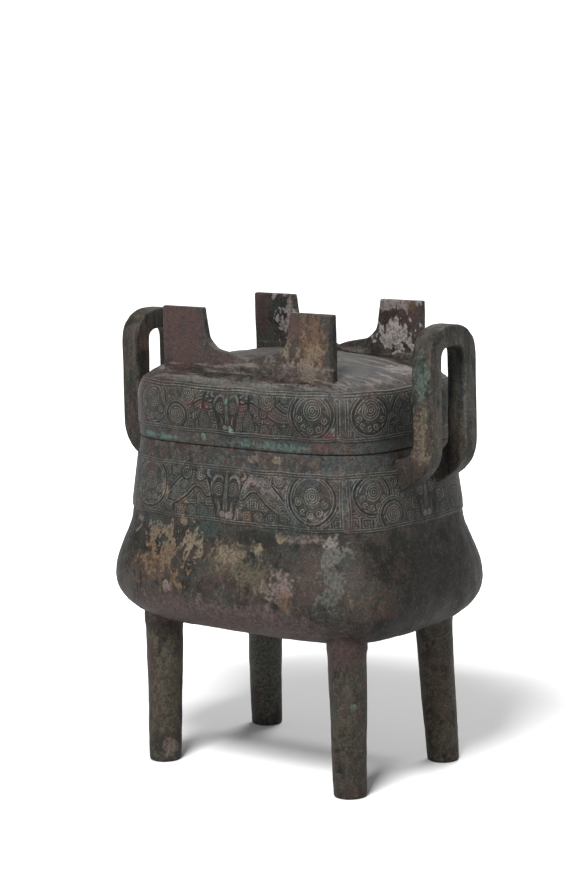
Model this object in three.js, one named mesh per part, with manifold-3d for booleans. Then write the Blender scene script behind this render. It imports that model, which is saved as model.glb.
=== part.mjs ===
// A lidded rectangular bronze ding: a sagging bowl on four tapering legs, two upright handles on its
// ends, bands of cast relief, and a lift-off lid whose two notched flanges let it stand upside down.
// Millimetres, +Z up, the long side along X. The origin is on the ground, under the bowl's middle.
import * as THREE from 'three';
import { mergeVertices } from 'three/addons/utils/BufferGeometryUtils.js';
import Module from 'manifold-3d';

const wasm = await Module();
wasm.setup();

// Bowl, from the ground up: each rise is measured from the line below it
const undersideHeight = 84;
const bellyRise = 26.8;
const waistRise = 45.4;
const rimRise = 37.3;
const undersideSag = 2; // the underside hangs this much lower in the middle
const rimHalfLength = 88.3;
const waistSpread = 4.6; // the waist stands this far outside the rim
const bellyBulge = 10.8; // and the belly this far outside the waist
const bellyTurn = 33; // how far the belly turns in below its widest line
const lengthOverWidth = 27.5; // every half length exceeds its half width by this much
const cornerPower = 3.7; // 2 would be an ellipse, more is squarer
const bowlWall = 3.6;
const floorWall = 4.5;

// Mouth: the lid's rim sits on the ledge, round an inner lip
const lipHeight = 5;
const lipWall = 2.4;
const lipClearance = 0.8;
const lipRoot = 12; // depth over which the thick mouth thins to the bowl's wall
const seatGap = 0.3;

// Legs
const legInsetX = 36.7; // from the belly's widest line in to a leg's axis
const legInsetY = 29.2;
const legShift = 3.4; // the legs were cast this much nearer the right end
const legSplay = 1.3; // how far a foot stands outside its leg's top, each way
const legTopRadius = 11.4;
const footRadius = 9.7;
const footRounding = 1.4;
const legFlare = 1.5; // widening where a leg runs into the bowl
const legFlareHeight = 5;
const strayTop = new THREE.Vector2(-4.2, -4); // the right rear leg was cast askew
const strayFoot = new THREE.Vector2(1.6, -7.2);

// Handles
const handleStandOff = 11.5; // from the rim out to a handle's inner face
const handleThickness = 13;
const handleWidth = 46.5;
const handleBarWidth = 12.4;
const handleRise = 69.8; // above the rim
const handleCrown = 16; // height of the arch above the straight uprights
const crownPower = 2.7;
const handleEdge = 2; // chamfer along a bar's edges
const rootDrop = 17.3; // from the rim down to where a bar's centre line enters the bowl
const rootThickness = 23;
const rootRise = 7;
const rootSunk = 9;
const bendRise = 5; // above the rim, where the bar becomes upright
const bendRun = 13; // the bar starts to turn up this far inside the upright

// Lid, measured from its own rim
const lidOverhang = 0.5;
const lidShoulderHeight = 23;
const lidShoulderRise = 17;
const lidShoulderRun = 15;
const lidCrown = 9; // the top's rise from shoulder to middle
const lidWall = 3;

// Flanges on the lid
const flangeEndInset = 27.3; // from the lid's end in to a flange's end
const flangeSideInset = 1.1; // from the shoulder's top in to a flange's outer face
const flangeShift = 1.3; // the flanges were set this much nearer the right end
const flangeThickness = 5.4;
const flangeFoot = 12; // depth of a flange below the shoulder's top
const stepRise = 3; // the flange's low middle, above the lid's crown
const postRise = 24.2; // the posts, above the low middle
const postWidth = 29.5;
const postFlare = 10.5; // widening of a post down to the low middle
const notchDepth = 4.6;
const flangeEdge = 0.8;

// Relief bands
const bowlBandDrop = 9; // from the rim down to the band
const bowlBandHeight = 34;
const lidBandRise = 6.5; // from the lid's rim up to the band
const lidBandHeight = 28.5;
const borderWidth = 2;
const borderProud = 0.8;
const maskProud = 2.6;
const eyeProud = 0.9; // above the coil or mask that carries it
const coilProud = 1.2;
const bodyProud = 1.3;
const reliefSunk = 2.4; // how far a relief solid reaches into the wall
const seamWidth = 3.2; // the upright bar down each corner

const ringSides = 36;
const cornerCrowding = 0.6; // less than 1 puts more of a ring's sides round the corners
const legSides = 14;

const bellyHeight = undersideHeight + bellyRise;
const waistHeight = bellyHeight + waistRise;
const rimHeight = waistHeight + rimRise;
const waistHalfLength = rimHalfLength + waistSpread;
const bellyHalfLength = waistHalfLength + bellyBulge;
const undersideHalfLength = bellyHalfLength - bellyTurn;

// Plan outline

const power = (value, exponent) => Math.sign(value) * Math.abs(value) ** exponent;

// A point of the rounded-rectangle outline in one direction, moved in along the outline's normal.
function outlinePoint(halfLength, direction, inset = 0) {
  const halfWidth = halfLength - lengthOverWidth;
  const [c, s] = [Math.cos(direction), Math.sin(direction)];
  const reach = (Math.abs(c) ** cornerPower + Math.abs(s) ** cornerPower) ** (-1 / cornerPower);
  const [u, v] = [c * reach, s * reach];
  const normal = new THREE.Vector2(
    power(u, cornerPower - 1) / halfLength,
    power(v, cornerPower - 1) / halfWidth,
  ).normalize();
  return new THREE.Vector2(u * halfLength - inset * normal.x, v * halfWidth - inset * normal.y);
}

// The ring at one height. Its inset is measured inwards from the outline; share draws it to the axis.
function ring({ z, halfLength, inset = 0, share = 1 }) {
  return Array.from({ length: ringSides }, (_, i) => {
    const turn = ((i + 0.5) / ringSides) * 2 * Math.PI;
    const [c, s] = [power(Math.cos(turn), cornerCrowding), power(Math.sin(turn), cornerCrowding)];
    const p = outlinePoint(halfLength, Math.atan2(s, c), inset);
    return new THREE.Vector3(p.x * share, p.y * share, z);
  });
}

// Solids

// A closed skin over rings of equal count, with a fan at each end. Rings run upwards, counter-clockwise.
function loft(rings) {
  const count = rings[0].length;
  const middle = (points) => points.reduce((sum, p) => sum.add(p), new THREE.Vector3()).divideScalar(count);
  const points = [...rings.flat(), middle(rings[0]), middle(rings.at(-1))];
  const [first, last] = [points.length - 2, points.length - 1];
  const top = (rings.length - 1) * count;
  const faces = [];
  for (let i = 0; i < count; i++) {
    const next = (i + 1) % count;
    for (let low = 0; low < top; low += count) {
      const high = low + count;
      faces.push(low + i, low + next, high + next, low + i, high + next, high + i);
    }
    faces.push(first, next, i, last, top + i, top + next);
  }
  return new THREE.BufferGeometry().setFromPoints(points).setIndex(faces);
}

function toSolid(geometry) {
  geometry.deleteAttribute('normal');
  geometry.deleteAttribute('uv');
  const merged = mergeVertices(geometry, 1e-4);
  return new wasm.Manifold(new wasm.Mesh({
    numProp: 3,
    vertProperties: new Float32Array(merged.attributes.position.array),
    triVerts: new Uint32Array(merged.index.array),
  }));
}

function toGeometry(solid) {
  const mesh = solid.getMesh();
  const geometry = new THREE.BufferGeometry();
  geometry.setAttribute('position', new THREE.BufferAttribute(mesh.vertProperties, mesh.numProp));
  geometry.setIndex(new THREE.BufferAttribute(mesh.triVerts, 1));
  geometry.computeVertexNormals();
  return geometry;
}

const join = (solids) => solids.reduce((sum, solid) => sum.add(solid));

// The three rings of a raised border line round a wall whose half length is halfLengthAt(z).
const border = (z, halfLengthAt) => [
  { z: z - borderWidth / 2, halfLength: halfLengthAt(z - borderWidth / 2) },
  { z, halfLength: halfLengthAt(z), inset: -borderProud },
  { z: z + borderWidth / 2, halfLength: halfLengthAt(z + borderWidth / 2) },
];

// Bowl

// The half length of the bowl's outside at a height between the belly's widest line and the rim.
function bowlHalfLength(z) {
  if (z >= waistHeight) {
    return THREE.MathUtils.lerp(waistHalfLength, rimHalfLength, (z - waistHeight) / rimRise);
  }
  const rise = (z - bellyHeight) / waistRise;
  return THREE.MathUtils.lerp(bellyHalfLength, waistHalfLength, (1 - Math.cos(Math.PI * rise)) / 2);
}

// Rings of the rounded turn under the belly, from the underside up to just below the widest line.
function bellyTurnRings(base, inset, steps = 5) {
  return Array.from({ length: steps }, (_, i) => {
    const turn = (i / steps) * (Math.PI / 2);
    return {
      z: bellyHeight - (bellyHeight - base) * Math.cos(turn),
      halfLength: bellyHalfLength - bellyTurn * (1 - Math.sin(turn)),
      inset,
    };
  });
}

// Rings from the belly's widest line up to the waist.
function flankRings(inset, steps = 5) {
  return Array.from({ length: steps + 1 }, (_, i) => {
    const z = bellyHeight + (i / steps) * waistRise;
    return { z, halfLength: bowlHalfLength(z), inset };
  });
}

const bowlBandTop = rimHeight - bowlBandDrop;
const bowlBandBottom = bowlBandTop - bowlBandHeight;

function bowlOutside() {
  const line = border(bowlBandBottom, bowlHalfLength);
  const wall = [...flankRings(0), ...line].sort((a, b) => a.z - b.z);
  return toSolid(loft([
    { z: undersideHeight - undersideSag, halfLength: undersideHalfLength, share: 0.5 },
    ...bellyTurnRings(undersideHeight, 0),
    ...wall,
    { z: rimHeight, halfLength: rimHalfLength },
  ].map(ring)));
}

const lipOuterInset = lidWall + lipClearance - lidOverhang;
const lipInnerInset = lipOuterInset + lipWall;

function mouthLip() {
  const heights = [rimHeight - lipWall, rimHeight + lipHeight];
  return toSolid(loft(heights.map((z) => ring({ z, halfLength: rimHalfLength, inset: lipOuterInset }))));
}

// The room inside, narrower at the mouth, where it leaves the lip standing.
function bowlHollow() {
  const floor = undersideHeight + floorWall;
  const mouth = { halfLength: rimHalfLength, inset: lipInnerInset };
  return toSolid(loft([
    { z: floor - undersideSag, halfLength: undersideHalfLength, inset: bowlWall, share: 0.5 },
    ...bellyTurnRings(floor, bowlWall, 3),
    ...flankRings(bowlWall, 3),
    { z: rimHeight - lipRoot, halfLength: bowlHalfLength(rimHeight - lipRoot), inset: bowlWall },
    { z: rimHeight - lipWall, ...mouth },
    { z: rimHeight + lipHeight + 1, ...mouth },
  ].map(ring)));
}

// Legs

const corners = [[-1, -1], [1, -1], [1, 1], [-1, 1]];

function leg([signX, signY]) {
  const [topX, topY] = [bellyHalfLength - legInsetX, bellyHalfLength - lengthOverWidth - legInsetY];
  const top = new THREE.Vector2(signX * topX + legShift, signY * topY);
  const foot = new THREE.Vector2(signX, signY).multiplyScalar(legSplay).add(top);
  if (signX > 0 && signY > 0) {
    top.add(strayTop);
    foot.add(strayFoot);
  }
  const sunk = undersideHeight + legFlareHeight + floorWall;
  const stations = [
    { z: 0, radius: footRadius - footRounding },
    { z: footRounding, radius: footRadius },
    { z: undersideHeight - legFlareHeight, radius: legTopRadius },
    { z: undersideHeight, radius: legTopRadius + legFlare },
    { z: sunk, radius: legTopRadius + legFlare },
  ];
  return toSolid(loft(stations.map(({ z, radius }) => {
    const centre = foot.clone().lerp(top, z / undersideHeight);
    return Array.from({ length: legSides }, (_, i) => {
      const angle = ((i + 0.5) / legSides) * 2 * Math.PI;
      return new THREE.Vector3(centre.x + radius * Math.cos(angle), centre.y + radius * Math.sin(angle), z);
    });
  })));
}

// Handles

// The centre line of the right-hand handle, from its front root, over the arch, to its rear root.
function handleStations() {
  const x = rimHalfLength + handleStandOff + handleThickness / 2;
  const barY = (handleWidth - handleBarWidth) / 2;
  const crownBase = rimHeight + handleRise - handleThickness / 2 - handleCrown;
  const rootHeight = rimHeight - rootDrop;
  const bend = new THREE.QuadraticBezierCurve3(
    new THREE.Vector3(x - bendRun, 0, rootHeight + rootRise * 0.7),
    new THREE.Vector3(x, 0, rootHeight + rootRise * 1.4),
    new THREE.Vector3(x, 0, rimHeight + bendRise),
  );
  const bendSteps = 5;
  const upright = [
    { at: new THREE.Vector3(rimHalfLength - rootSunk, 0, rootHeight), thickness: rootThickness },
    ...bend.getPoints(bendSteps).map((at, i) => ({
      at,
      thickness: THREE.MathUtils.lerp(rootThickness * 0.75, handleThickness, Math.sqrt(i / bendSteps)),
    })),
    { at: new THREE.Vector3(x, 0, crownBase), thickness: handleThickness },
  ];
  const front = upright.map(({ at, thickness }) => ({ at: at.clone().setY(-barY), thickness }));
  const rear = upright.map(({ at, thickness }) => ({ at: at.clone().setY(barY), thickness })).reverse();
  const archSteps = 8;
  const arch = Array.from({ length: archSteps - 1 }, (_, i) => {
    const angle = Math.PI * (1 - (i + 1) / archSteps);
    const y = -barY * power(Math.cos(Math.PI - angle), 2 / crownPower);
    const z = crownBase + handleCrown * Math.sin(angle) ** (2 / crownPower);
    return { at: new THREE.Vector3(x, y, z), thickness: handleThickness };
  });
  return [...front, ...arch, ...rear];
}

// A bar of chamfered rectangular section along the stations. Its thickness stays in line with X.
function handle(side) {
  const stations = handleStations();
  const across = new THREE.Vector3(1, 0, 0);
  const rings = stations.map(({ at, thickness }, i) => {
    const before = stations[Math.max(0, i - 1)].at;
    const after = stations[Math.min(stations.length - 1, i + 1)].at;
    const along = after.clone().sub(before).normalize();
    const out = across.clone().addScaledVector(along, -across.dot(along)).normalize();
    const wide = along.clone().cross(out);
    const [a, b] = [thickness / 2, handleBarWidth / 2];
    const [c, d] = [a - handleEdge, b - handleEdge];
    const section = [[a, -d], [a, d], [c, b], [-c, b], [-a, d], [-a, -d], [-c, -b], [c, -b]];
    return section.map(([u, v]) => at.clone().addScaledVector(out, u).addScaledVector(wide, v));
  });
  const bar = toSolid(loft(rings));
  return side > 0 ? bar : bar.rotate([0, 0, 180]);
}

// Relief

const sides = [-1, 0, 1, 2].map((quarter) => (quarter * Math.PI) / 2);

// A band of wall that relief is laid on: each of its four panels is centred on one side.
function band({ bottom, height, halfLengthAt }) {
  const middle = halfLengthAt(bottom + height / 2);
  const steps = 360;
  const directions = Array.from({ length: 2 * steps + 1 }, (_, i) => (i / steps) * 2 * Math.PI - Math.PI);
  const lengths = [0];
  for (let i = 1; i < directions.length; i++) {
    const [from, to] = [directions[i - 1], directions[i]].map((angle) => outlinePoint(middle, angle));
    lengths.push(lengths[i - 1] + from.distanceTo(to));
  }
  const interpolate = (keys, values, key) => {
    const i = Math.min(keys.length - 2, Math.max(0, keys.findLastIndex((k) => k <= key)));
    return THREE.MathUtils.mapLinear(key, keys[i], keys[i + 1], values[i], values[i + 1]);
  };
  const lengthAt = (direction) => interpolate(directions, lengths, direction);
  return {
    height,
    // Distance along the wall from the middle of a side to the corner beside it
    reach: (side) => lengthAt(side + Math.PI / 4) - lengthAt(side),
    // Turns a point given along, up and out from the foot of a side's middle into a place on the wall
    place(point, side) {
      const direction = interpolate(lengths, directions, lengthAt(side) + point.x);
      const z = bottom + point.y;
      const onWall = outlinePoint(halfLengthAt(z), direction, -point.z);
      return point.set(onWall.x, onWall.y, z);
    },
  };
}

// A shape drawn on a panel, raised from the wall and bent round it.
function raise(shape, proud, wall, side, curveSegments = 5) {
  const depth = proud + reliefSunk;
  const geometry = new THREE.ExtrudeGeometry(shape, { depth, bevelEnabled: false, curveSegments });
  geometry.translate(0, 0, -reliefSunk);
  const position = geometry.attributes.position;
  const point = new THREE.Vector3();
  for (let i = 0; i < position.count; i++) {
    wall.place(point.fromBufferAttribute(position, i), side);
    position.setXYZ(i, point.x, point.y, point.z);
  }
  return toSolid(geometry);
}

const disc = (x, y, radius) => new THREE.Shape().absarc(x, y, radius, 0, 2 * Math.PI);

// A ribbon along a curve, as wide at each point as widthAt says.
function ribbon(curve, widthAt, steps) {
  const edges = [[], []];
  for (let i = 0; i <= steps; i++) {
    const [point, along] = [curve.getPoint(i / steps), curve.getTangent(i / steps)];
    const half = new THREE.Vector2(-along.y, along.x).multiplyScalar(widthAt(i / steps) / 2);
    edges[0].push(point.clone().add(half));
    edges[1].unshift(point.clone().sub(half));
  }
  return new THREE.Shape(edges.flat());
}

// The animal mask in the middle of a panel: a shield narrowing to a muzzle, with two horns above.
function maskShape(height) {
  const [half, muzzle] = [height * 0.27, height * 0.12];
  const right = new THREE.Shape();
  right.moveTo(0, height * 0.03);
  right.lineTo(muzzle, height * 0.08);
  right.quadraticCurveTo(half * 0.95, height * 0.3, half, height * 0.6);
  right.quadraticCurveTo(half * 1.1, height * 0.86, half * 1.5, height * 0.94);
  right.lineTo(half * 0.5, height * 0.93);
  right.lineTo(0, height * 0.8);
  const points = right.getPoints(2);
  const mirrored = points.slice(1, -1).map((p) => new THREE.Vector2(-p.x, p.y)).reverse();
  return new THREE.Shape([...points, ...mirrored]);
}

// The dragon beside the mask: an S-shaped body, and the coil of its head beside the corner.
function dragon(height, reach, direction) {
  const coilRadius = height * 0.35;
  const coilX = reach - coilRadius - seamWidth * 0.9;
  const coilY = height * 0.48;
  const [start, end] = [height * 0.42, coilX - coilRadius * 0.75];
  const width = Math.min(height * 0.2, (end - start) * 0.38);
  const at = (along, up) => new THREE.Vector2(direction * THREE.MathUtils.lerp(start, end, along), height * up);
  const spine = new THREE.SplineCurve([at(0, 0.6), at(0.25, 0.8), at(0.55, 0.7), at(0.78, 0.35), at(1, 0.14)]);
  return {
    body: ribbon(spine, (along) => width * (0.45 + 0.55 * Math.sin(Math.PI * along)), 5),
    coil: disc(direction * coilX, coilY, coilRadius),
    eye: disc(direction * coilX, coilY, coilRadius * 0.45),
  };
}

function bandRelief(wall) {
  const { height } = wall;
  return sides.flatMap((side) => {
    const reach = wall.reach(side);
    const seam = new THREE.Shape([[-1, 0], [1, 0], [1, 1], [-1, 1]].map(([along, up]) => (
      new THREE.Vector2(reach + (along * seamWidth) / 2, up * height)
    )));
    const mask = raise(maskShape(height), maskProud, wall, side);
    const dragons = [-1, 1].flatMap((direction) => {
      const { body, coil, eye } = dragon(height, reach, direction);
      const maskEye = disc(direction * height * 0.13, height * 0.56, height * 0.08);
      return [
        raise(body, bodyProud, wall, side),
        raise(coil, coilProud, wall, side),
        raise(eye, coilProud + eyeProud, wall, side, 3),
        raise(maskEye, maskProud + eyeProud, wall, side, 3),
      ];
    });
    return [mask, ...dragons, raise(seam, borderProud, wall, side)];
  });
}

// Lid

const lidRimHeight = rimHeight + seatGap;
const lidRimHalfLength = rimHalfLength + lidOverhang;
const lidShoulderBase = lidRimHeight + lidShoulderHeight;
const lidShoulderTop = lidShoulderBase + lidShoulderRise;
const lidCrownHeight = lidShoulderTop + lidCrown;

function lidHalfLength(z) {
  const turn = THREE.MathUtils.clamp((z - lidShoulderBase) / lidShoulderRise, 0, 1);
  return lidRimHalfLength - lidShoulderRun * (1 - Math.sqrt(1 - turn * turn));
}

const lidBandBottom = lidRimHeight + lidBandRise;

// The lid's skin from its rim to its crown. A hollow's skin is lowered and moved in by the wall.
function lidSkin(wall, steps, extra = []) {
  const shoulder = Array.from({ length: steps + 1 }, (_, i) => {
    const turn = Math.sin((i / steps) * (Math.PI / 2));
    const z = lidShoulderBase + lidShoulderRise * turn;
    return { z: z - wall * turn, halfLength: lidHalfLength(z), inset: wall * (1 - turn / 2) };
  });
  const top = shoulder.at(-1);
  const crown = [0.66, 0.33].map((share) => ({ ...top, z: top.z + lidCrown * (1 - share * share), share }));
  const base = { z: wall ? lidRimHeight - 1 : lidRimHeight, halfLength: lidRimHalfLength, inset: wall };
  return toSolid(loft([base, ...extra, ...shoulder, ...crown].map(ring)));
}

function flange(side) {
  const end = lidRimHalfLength - flangeEndInset;
  const face = lidRimHalfLength - lengthOverWidth - lidShoulderRun - flangeSideInset;
  const step = lidCrownHeight + stepRise;
  const [postInner, postFoot] = [end - postWidth, end - postWidth - postFlare];
  const half = new THREE.Shape();
  half.moveTo(end, lidShoulderTop - flangeFoot);
  half.lineTo(end, step + postRise);
  half.lineTo(postInner, step + postRise);
  half.lineTo(postInner - postFlare * 0.2, step + postRise * 0.42);
  half.quadraticCurveTo(postInner - postFlare * 0.35, step, postFoot, step);
  half.quadraticCurveTo(postFoot / 3, step, 0, step - notchDepth);
  const right = half.getPoints(4);
  const left = right.slice(0, -1).map((p) => new THREE.Vector2(-p.x, p.y)).reverse();
  const plate = new THREE.ExtrudeGeometry(new THREE.Shape([...right, ...left]), {
    depth: flangeThickness - 2 * flangeEdge,
    bevelThickness: flangeEdge,
    bevelSize: flangeEdge,
    bevelOffset: -flangeEdge,
    bevelSegments: 1,
  });
  plate.translate(0, 0, flangeEdge);
  plate.rotateX(Math.PI / 2);
  plate.translate(flangeShift, side > 0 ? face : flangeThickness - face, 0);
  return toSolid(plate);
}

// The two castings

const bowlBand = band({ bottom: bowlBandBottom, height: bowlBandHeight, halfLengthAt: bowlHalfLength });
const lidBand = band({ bottom: lidBandBottom, height: lidBandHeight, halfLengthAt: lidHalfLength });

const vesselSolid = join([
  bowlOutside(),
  mouthLip(),
  ...corners.map(leg),
  handle(1),
  handle(-1),
  ...bandRelief(bowlBand),
]).subtract(bowlHollow());

const lidSolid = join([
  lidSkin(0, 5, border(lidBandBottom, lidHalfLength)),
  flange(-1),
  flange(1),
  ...bandRelief(lidBand),
]).subtract(lidSkin(lidWall, 3));

const bowlBronze = new THREE.MeshStandardMaterial({ color: 0x4a4640, roughness: 0.55, metalness: 0.35 });
const lidBronze = new THREE.MeshStandardMaterial({ color: 0x55483f, roughness: 0.58, metalness: 0.32 });

const ding = new THREE.Group();
for (const [name, solid, material] of [['vessel', vesselSolid, bowlBronze], ['lid', lidSolid, lidBronze]]) {
  const mesh = new THREE.Mesh(toGeometry(solid), material);
  mesh.name = name;
  ding.add(mesh);
}

export default ding;
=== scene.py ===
"""A lidded rectangular bronze ding: a bowl on four legs with two upright handles, and a flanged lid.

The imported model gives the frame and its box. Properties hold lengths in metres. The mesh code reads
them in millimetres and goes back to metres where a mesh is made. Relief is real geometry on both
castings, and the patina is worked out by nodes.
"""

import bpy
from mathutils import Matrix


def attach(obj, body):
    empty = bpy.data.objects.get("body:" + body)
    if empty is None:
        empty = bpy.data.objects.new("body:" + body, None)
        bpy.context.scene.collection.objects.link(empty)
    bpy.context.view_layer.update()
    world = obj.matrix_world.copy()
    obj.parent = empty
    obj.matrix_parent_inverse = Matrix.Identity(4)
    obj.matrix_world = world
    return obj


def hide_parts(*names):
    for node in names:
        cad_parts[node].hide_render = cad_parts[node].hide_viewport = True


bl_info = {
    "name": "Bronze Ding",
    "version": (1, 0, 0),
    "blender": (4, 5, 0),
    "location": "3D View > Sidebar > Ding",
    "description": "Builds a lidded four-legged bronze vessel with cast relief and an old patina",
    "category": "Add Mesh",
}

import math
from types import SimpleNamespace
from typing import NamedTuple

import bpy
import numpy as np
from bpy.props import FloatProperty, FloatVectorProperty, PointerProperty
from bpy.types import Operator, Panel, PropertyGroup
from mathutils import Matrix, Vector

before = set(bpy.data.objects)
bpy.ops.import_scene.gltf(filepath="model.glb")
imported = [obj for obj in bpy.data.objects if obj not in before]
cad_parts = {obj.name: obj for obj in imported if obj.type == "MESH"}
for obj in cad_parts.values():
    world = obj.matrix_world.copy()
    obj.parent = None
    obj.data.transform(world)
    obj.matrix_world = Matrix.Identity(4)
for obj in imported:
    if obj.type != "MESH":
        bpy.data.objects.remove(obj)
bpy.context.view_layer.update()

MM = 0.001


# Properties


def length(name, description, millimetres):
    """A length property, given in millimetres and kept in metres."""
    return FloatProperty(name=name, description=description, default=millimetres * MM, unit="LENGTH")


def number(name, description, value):
    """A property without a unit."""
    return FloatProperty(name=name, description=description, default=value)


def colour(name, description, red, green, blue):
    """A colour property in linear light."""
    return FloatVectorProperty(
        name=name, description=description, default=(red, green, blue), subtype="COLOR", min=0, max=1
    )


class DingBowlSizes(PropertyGroup):
    """The bowl, from the ground up: each rise is measured from the line below it."""

    underside_height: length("Underside height", "From the ground to the bowl's underside", 84)
    belly_rise: length("Belly rise", "Up to the belly's widest line", 26.8)
    waist_rise: length("Waist rise", "Up to the waist", 45.4)
    rim_rise: length("Rim rise", "Up to the rim", 37.3)
    underside_sag: length("Sag", "How much lower the underside hangs in the middle", 2)
    rim_half_length: length("Rim half length", "From the middle to the end of the rim", 88.3)
    waist_spread: length("Waist spread", "How far the waist stands outside the rim", 4.6)
    belly_bulge: length("Belly bulge", "How far the belly stands outside the waist", 10.8)
    belly_turn: length("Belly turn", "How far the belly turns in below its widest line", 33)
    length_over_width: length("Length over width", "Half length less half width, at any height", 27.5)
    corner_power: number("Corner power", "2 is an ellipse, more is squarer", 3.7)
    wall: length("Wall", "Thickness of the bowl's wall", 3.6)
    floor: length("Floor", "Thickness of the bowl's floor", 4.5)
    lip_height: length("Lip height", "Height of the inner lip above the rim", 5)
    lip_wall: length("Lip wall", "Thickness of the inner lip", 2.4)
    lip_clearance: length("Lip clearance", "Between the lip and the lid", 0.8)
    lip_root: length("Lip root", "Depth over which the thick mouth thins to the wall", 12)
    seat_gap: length("Seat gap", "Between the rim's ledge and the lid", 0.3)


class DingLegSizes(PropertyGroup):
    """The four legs. One of them, at the right rear, was cast askew."""

    inset_x: length("Inset along X", "From the belly's widest line in to a leg's axis", 36.7)
    inset_y: length("Inset along Y", "From the belly's widest line in to a leg's axis", 29.2)
    shift: length("Shift", "How much nearer the right end the legs stand", 3.4)
    splay: length("Splay", "How far a foot stands outside its leg's top, each way", 1.3)
    top_radius: length("Top radius", "Radius under the bowl", 11.4)
    foot_radius: length("Foot radius", "Radius at the ground", 9.7)
    foot_rounding: length("Foot rounding", "Rounding round the foot's edge", 1.4)
    flare: length("Flare", "Widening where a leg runs into the bowl", 1.5)
    flare_height: length("Flare height", "Height of that widening", 5)
    stray_top: FloatVectorProperty(
        name="Stray top", description="How far the askew leg's top is out of place", size=2,
        default=(-4.2 * MM, -4 * MM), unit="LENGTH",
    )
    stray_foot: FloatVectorProperty(
        name="Stray foot", description="How far the askew leg's foot is out of place", size=2,
        default=(1.6 * MM, -7.2 * MM), unit="LENGTH",
    )


class DingHandleSizes(PropertyGroup):
    """The two upright handles on the bowl's ends."""

    stand_off: length("Stand-off", "From the rim out to a handle's inner face", 11.5)
    thickness: length("Thickness", "Thickness of a bar, along X", 13)
    width: length("Width", "Overall width of a handle", 46.5)
    bar_width: length("Bar width", "Width of a bar, across its thickness", 12.4)
    rise: length("Rise", "Height of a handle above the rim", 69.8)
    crown: length("Crown", "Height of the arch above the straight uprights", 16)
    crown_power: number("Crown power", "2 is a round arch, more is squarer", 2.7)
    edge: length("Edge rounding", "Rounding along a bar's edges", 1.5)
    root_drop: length("Root drop", "From the rim down to where a bar enters the bowl", 17.3)
    root_thickness: length("Root thickness", "Height of a bar where it enters the bowl", 23)
    root_rise: length("Root rise", "How far the bar climbs as it leaves the bowl", 7)
    root_sunk: length("Root sunk", "How far the bar reaches into the rim's outline", 9)
    bend_rise: length("Bend rise", "Height above the rim where the bar becomes upright", 5)
    bend_run: length("Bend run", "How far inside the upright the bar starts to turn", 13)


class DingLidSizes(PropertyGroup):
    """The lid, measured from its own rim."""

    overhang: length("Overhang", "How far the lid stands outside the bowl's rim", 0.5)
    shoulder_height: length("Shoulder height", "From the lid's rim to its shoulder", 23)
    shoulder_rise: length("Shoulder rise", "Height of the rounded shoulder", 17)
    shoulder_run: length("Shoulder run", "How far the shoulder turns in", 15)
    crown: length("Crown", "Rise of the top from shoulder to middle", 9)
    wall: length("Wall", "Thickness of the lid", 3)


class DingFlangeSizes(PropertyGroup):
    """The two notched flanges that the lid stands on when it is upside down."""

    end_inset: length("End inset", "From the lid's end in to a flange's end", 27.3)
    side_inset: length("Side inset", "From the shoulder's top in to a flange's outer face", 1.1)
    shift: length("Shift", "How much nearer the right end the flanges stand", 1.3)
    thickness: length("Thickness", "Thickness of a flange", 5.4)
    foot: length("Foot", "Depth of a flange below the shoulder's top", 12)
    step_rise: length("Step rise", "Height of the low middle above the lid's crown", 3)
    post_rise: length("Post rise", "Height of the posts above the low middle", 24.2)
    post_width: length("Post width", "Width of a post at its top", 29.5)
    post_flare: length("Post flare", "Widening of a post down to the low middle", 10.5)
    notch_depth: length("Notch depth", "Depth of the notch in the low middle", 4.6)
    edge: length("Edge rounding", "Rounding along a flange's edges", 1.1)


class DingReliefSizes(PropertyGroup):
    """The cast ornament of the two bands."""

    bowl_band_drop: length("Bowl band drop", "From the bowl's rim down to its band", 9)
    bowl_band_height: length("Bowl band height", "Height of the bowl's band", 34)
    lid_band_rise: length("Lid band rise", "From the lid's rim up to its band", 6.5)
    lid_band_height: length("Lid band height", "Height of the lid's band", 28.5)
    thread_pitch: length("Thread pitch", "From one thread line to the next", 1.4)
    thread_proud: length("Thread height", "How far a thread line stands out", 0.7)
    border_proud: length("Border height", "How far border and corner lines stand out", 0.8)
    body_proud: length("Body height", "How far a dragon's body stands out", 2.4)
    coil_proud: length("Coil height", "How far a coil stands out", 1.8)
    mask_proud: length("Mask height", "How far the mask stands out", 3.4)
    crease: length("Crease", "Height of the groove round a raised form, below the wall", -0.7)
    eye_proud: length("Eye height", "How far an eye stands out from its coil or mask", 0.7)
    seen_step: length("Seen step", "Distance between mesh points on the two finer panels", 0.45)
    plain_step: length("Plain step", "Distance between mesh points on the two plainer panels", 0.9)


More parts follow.
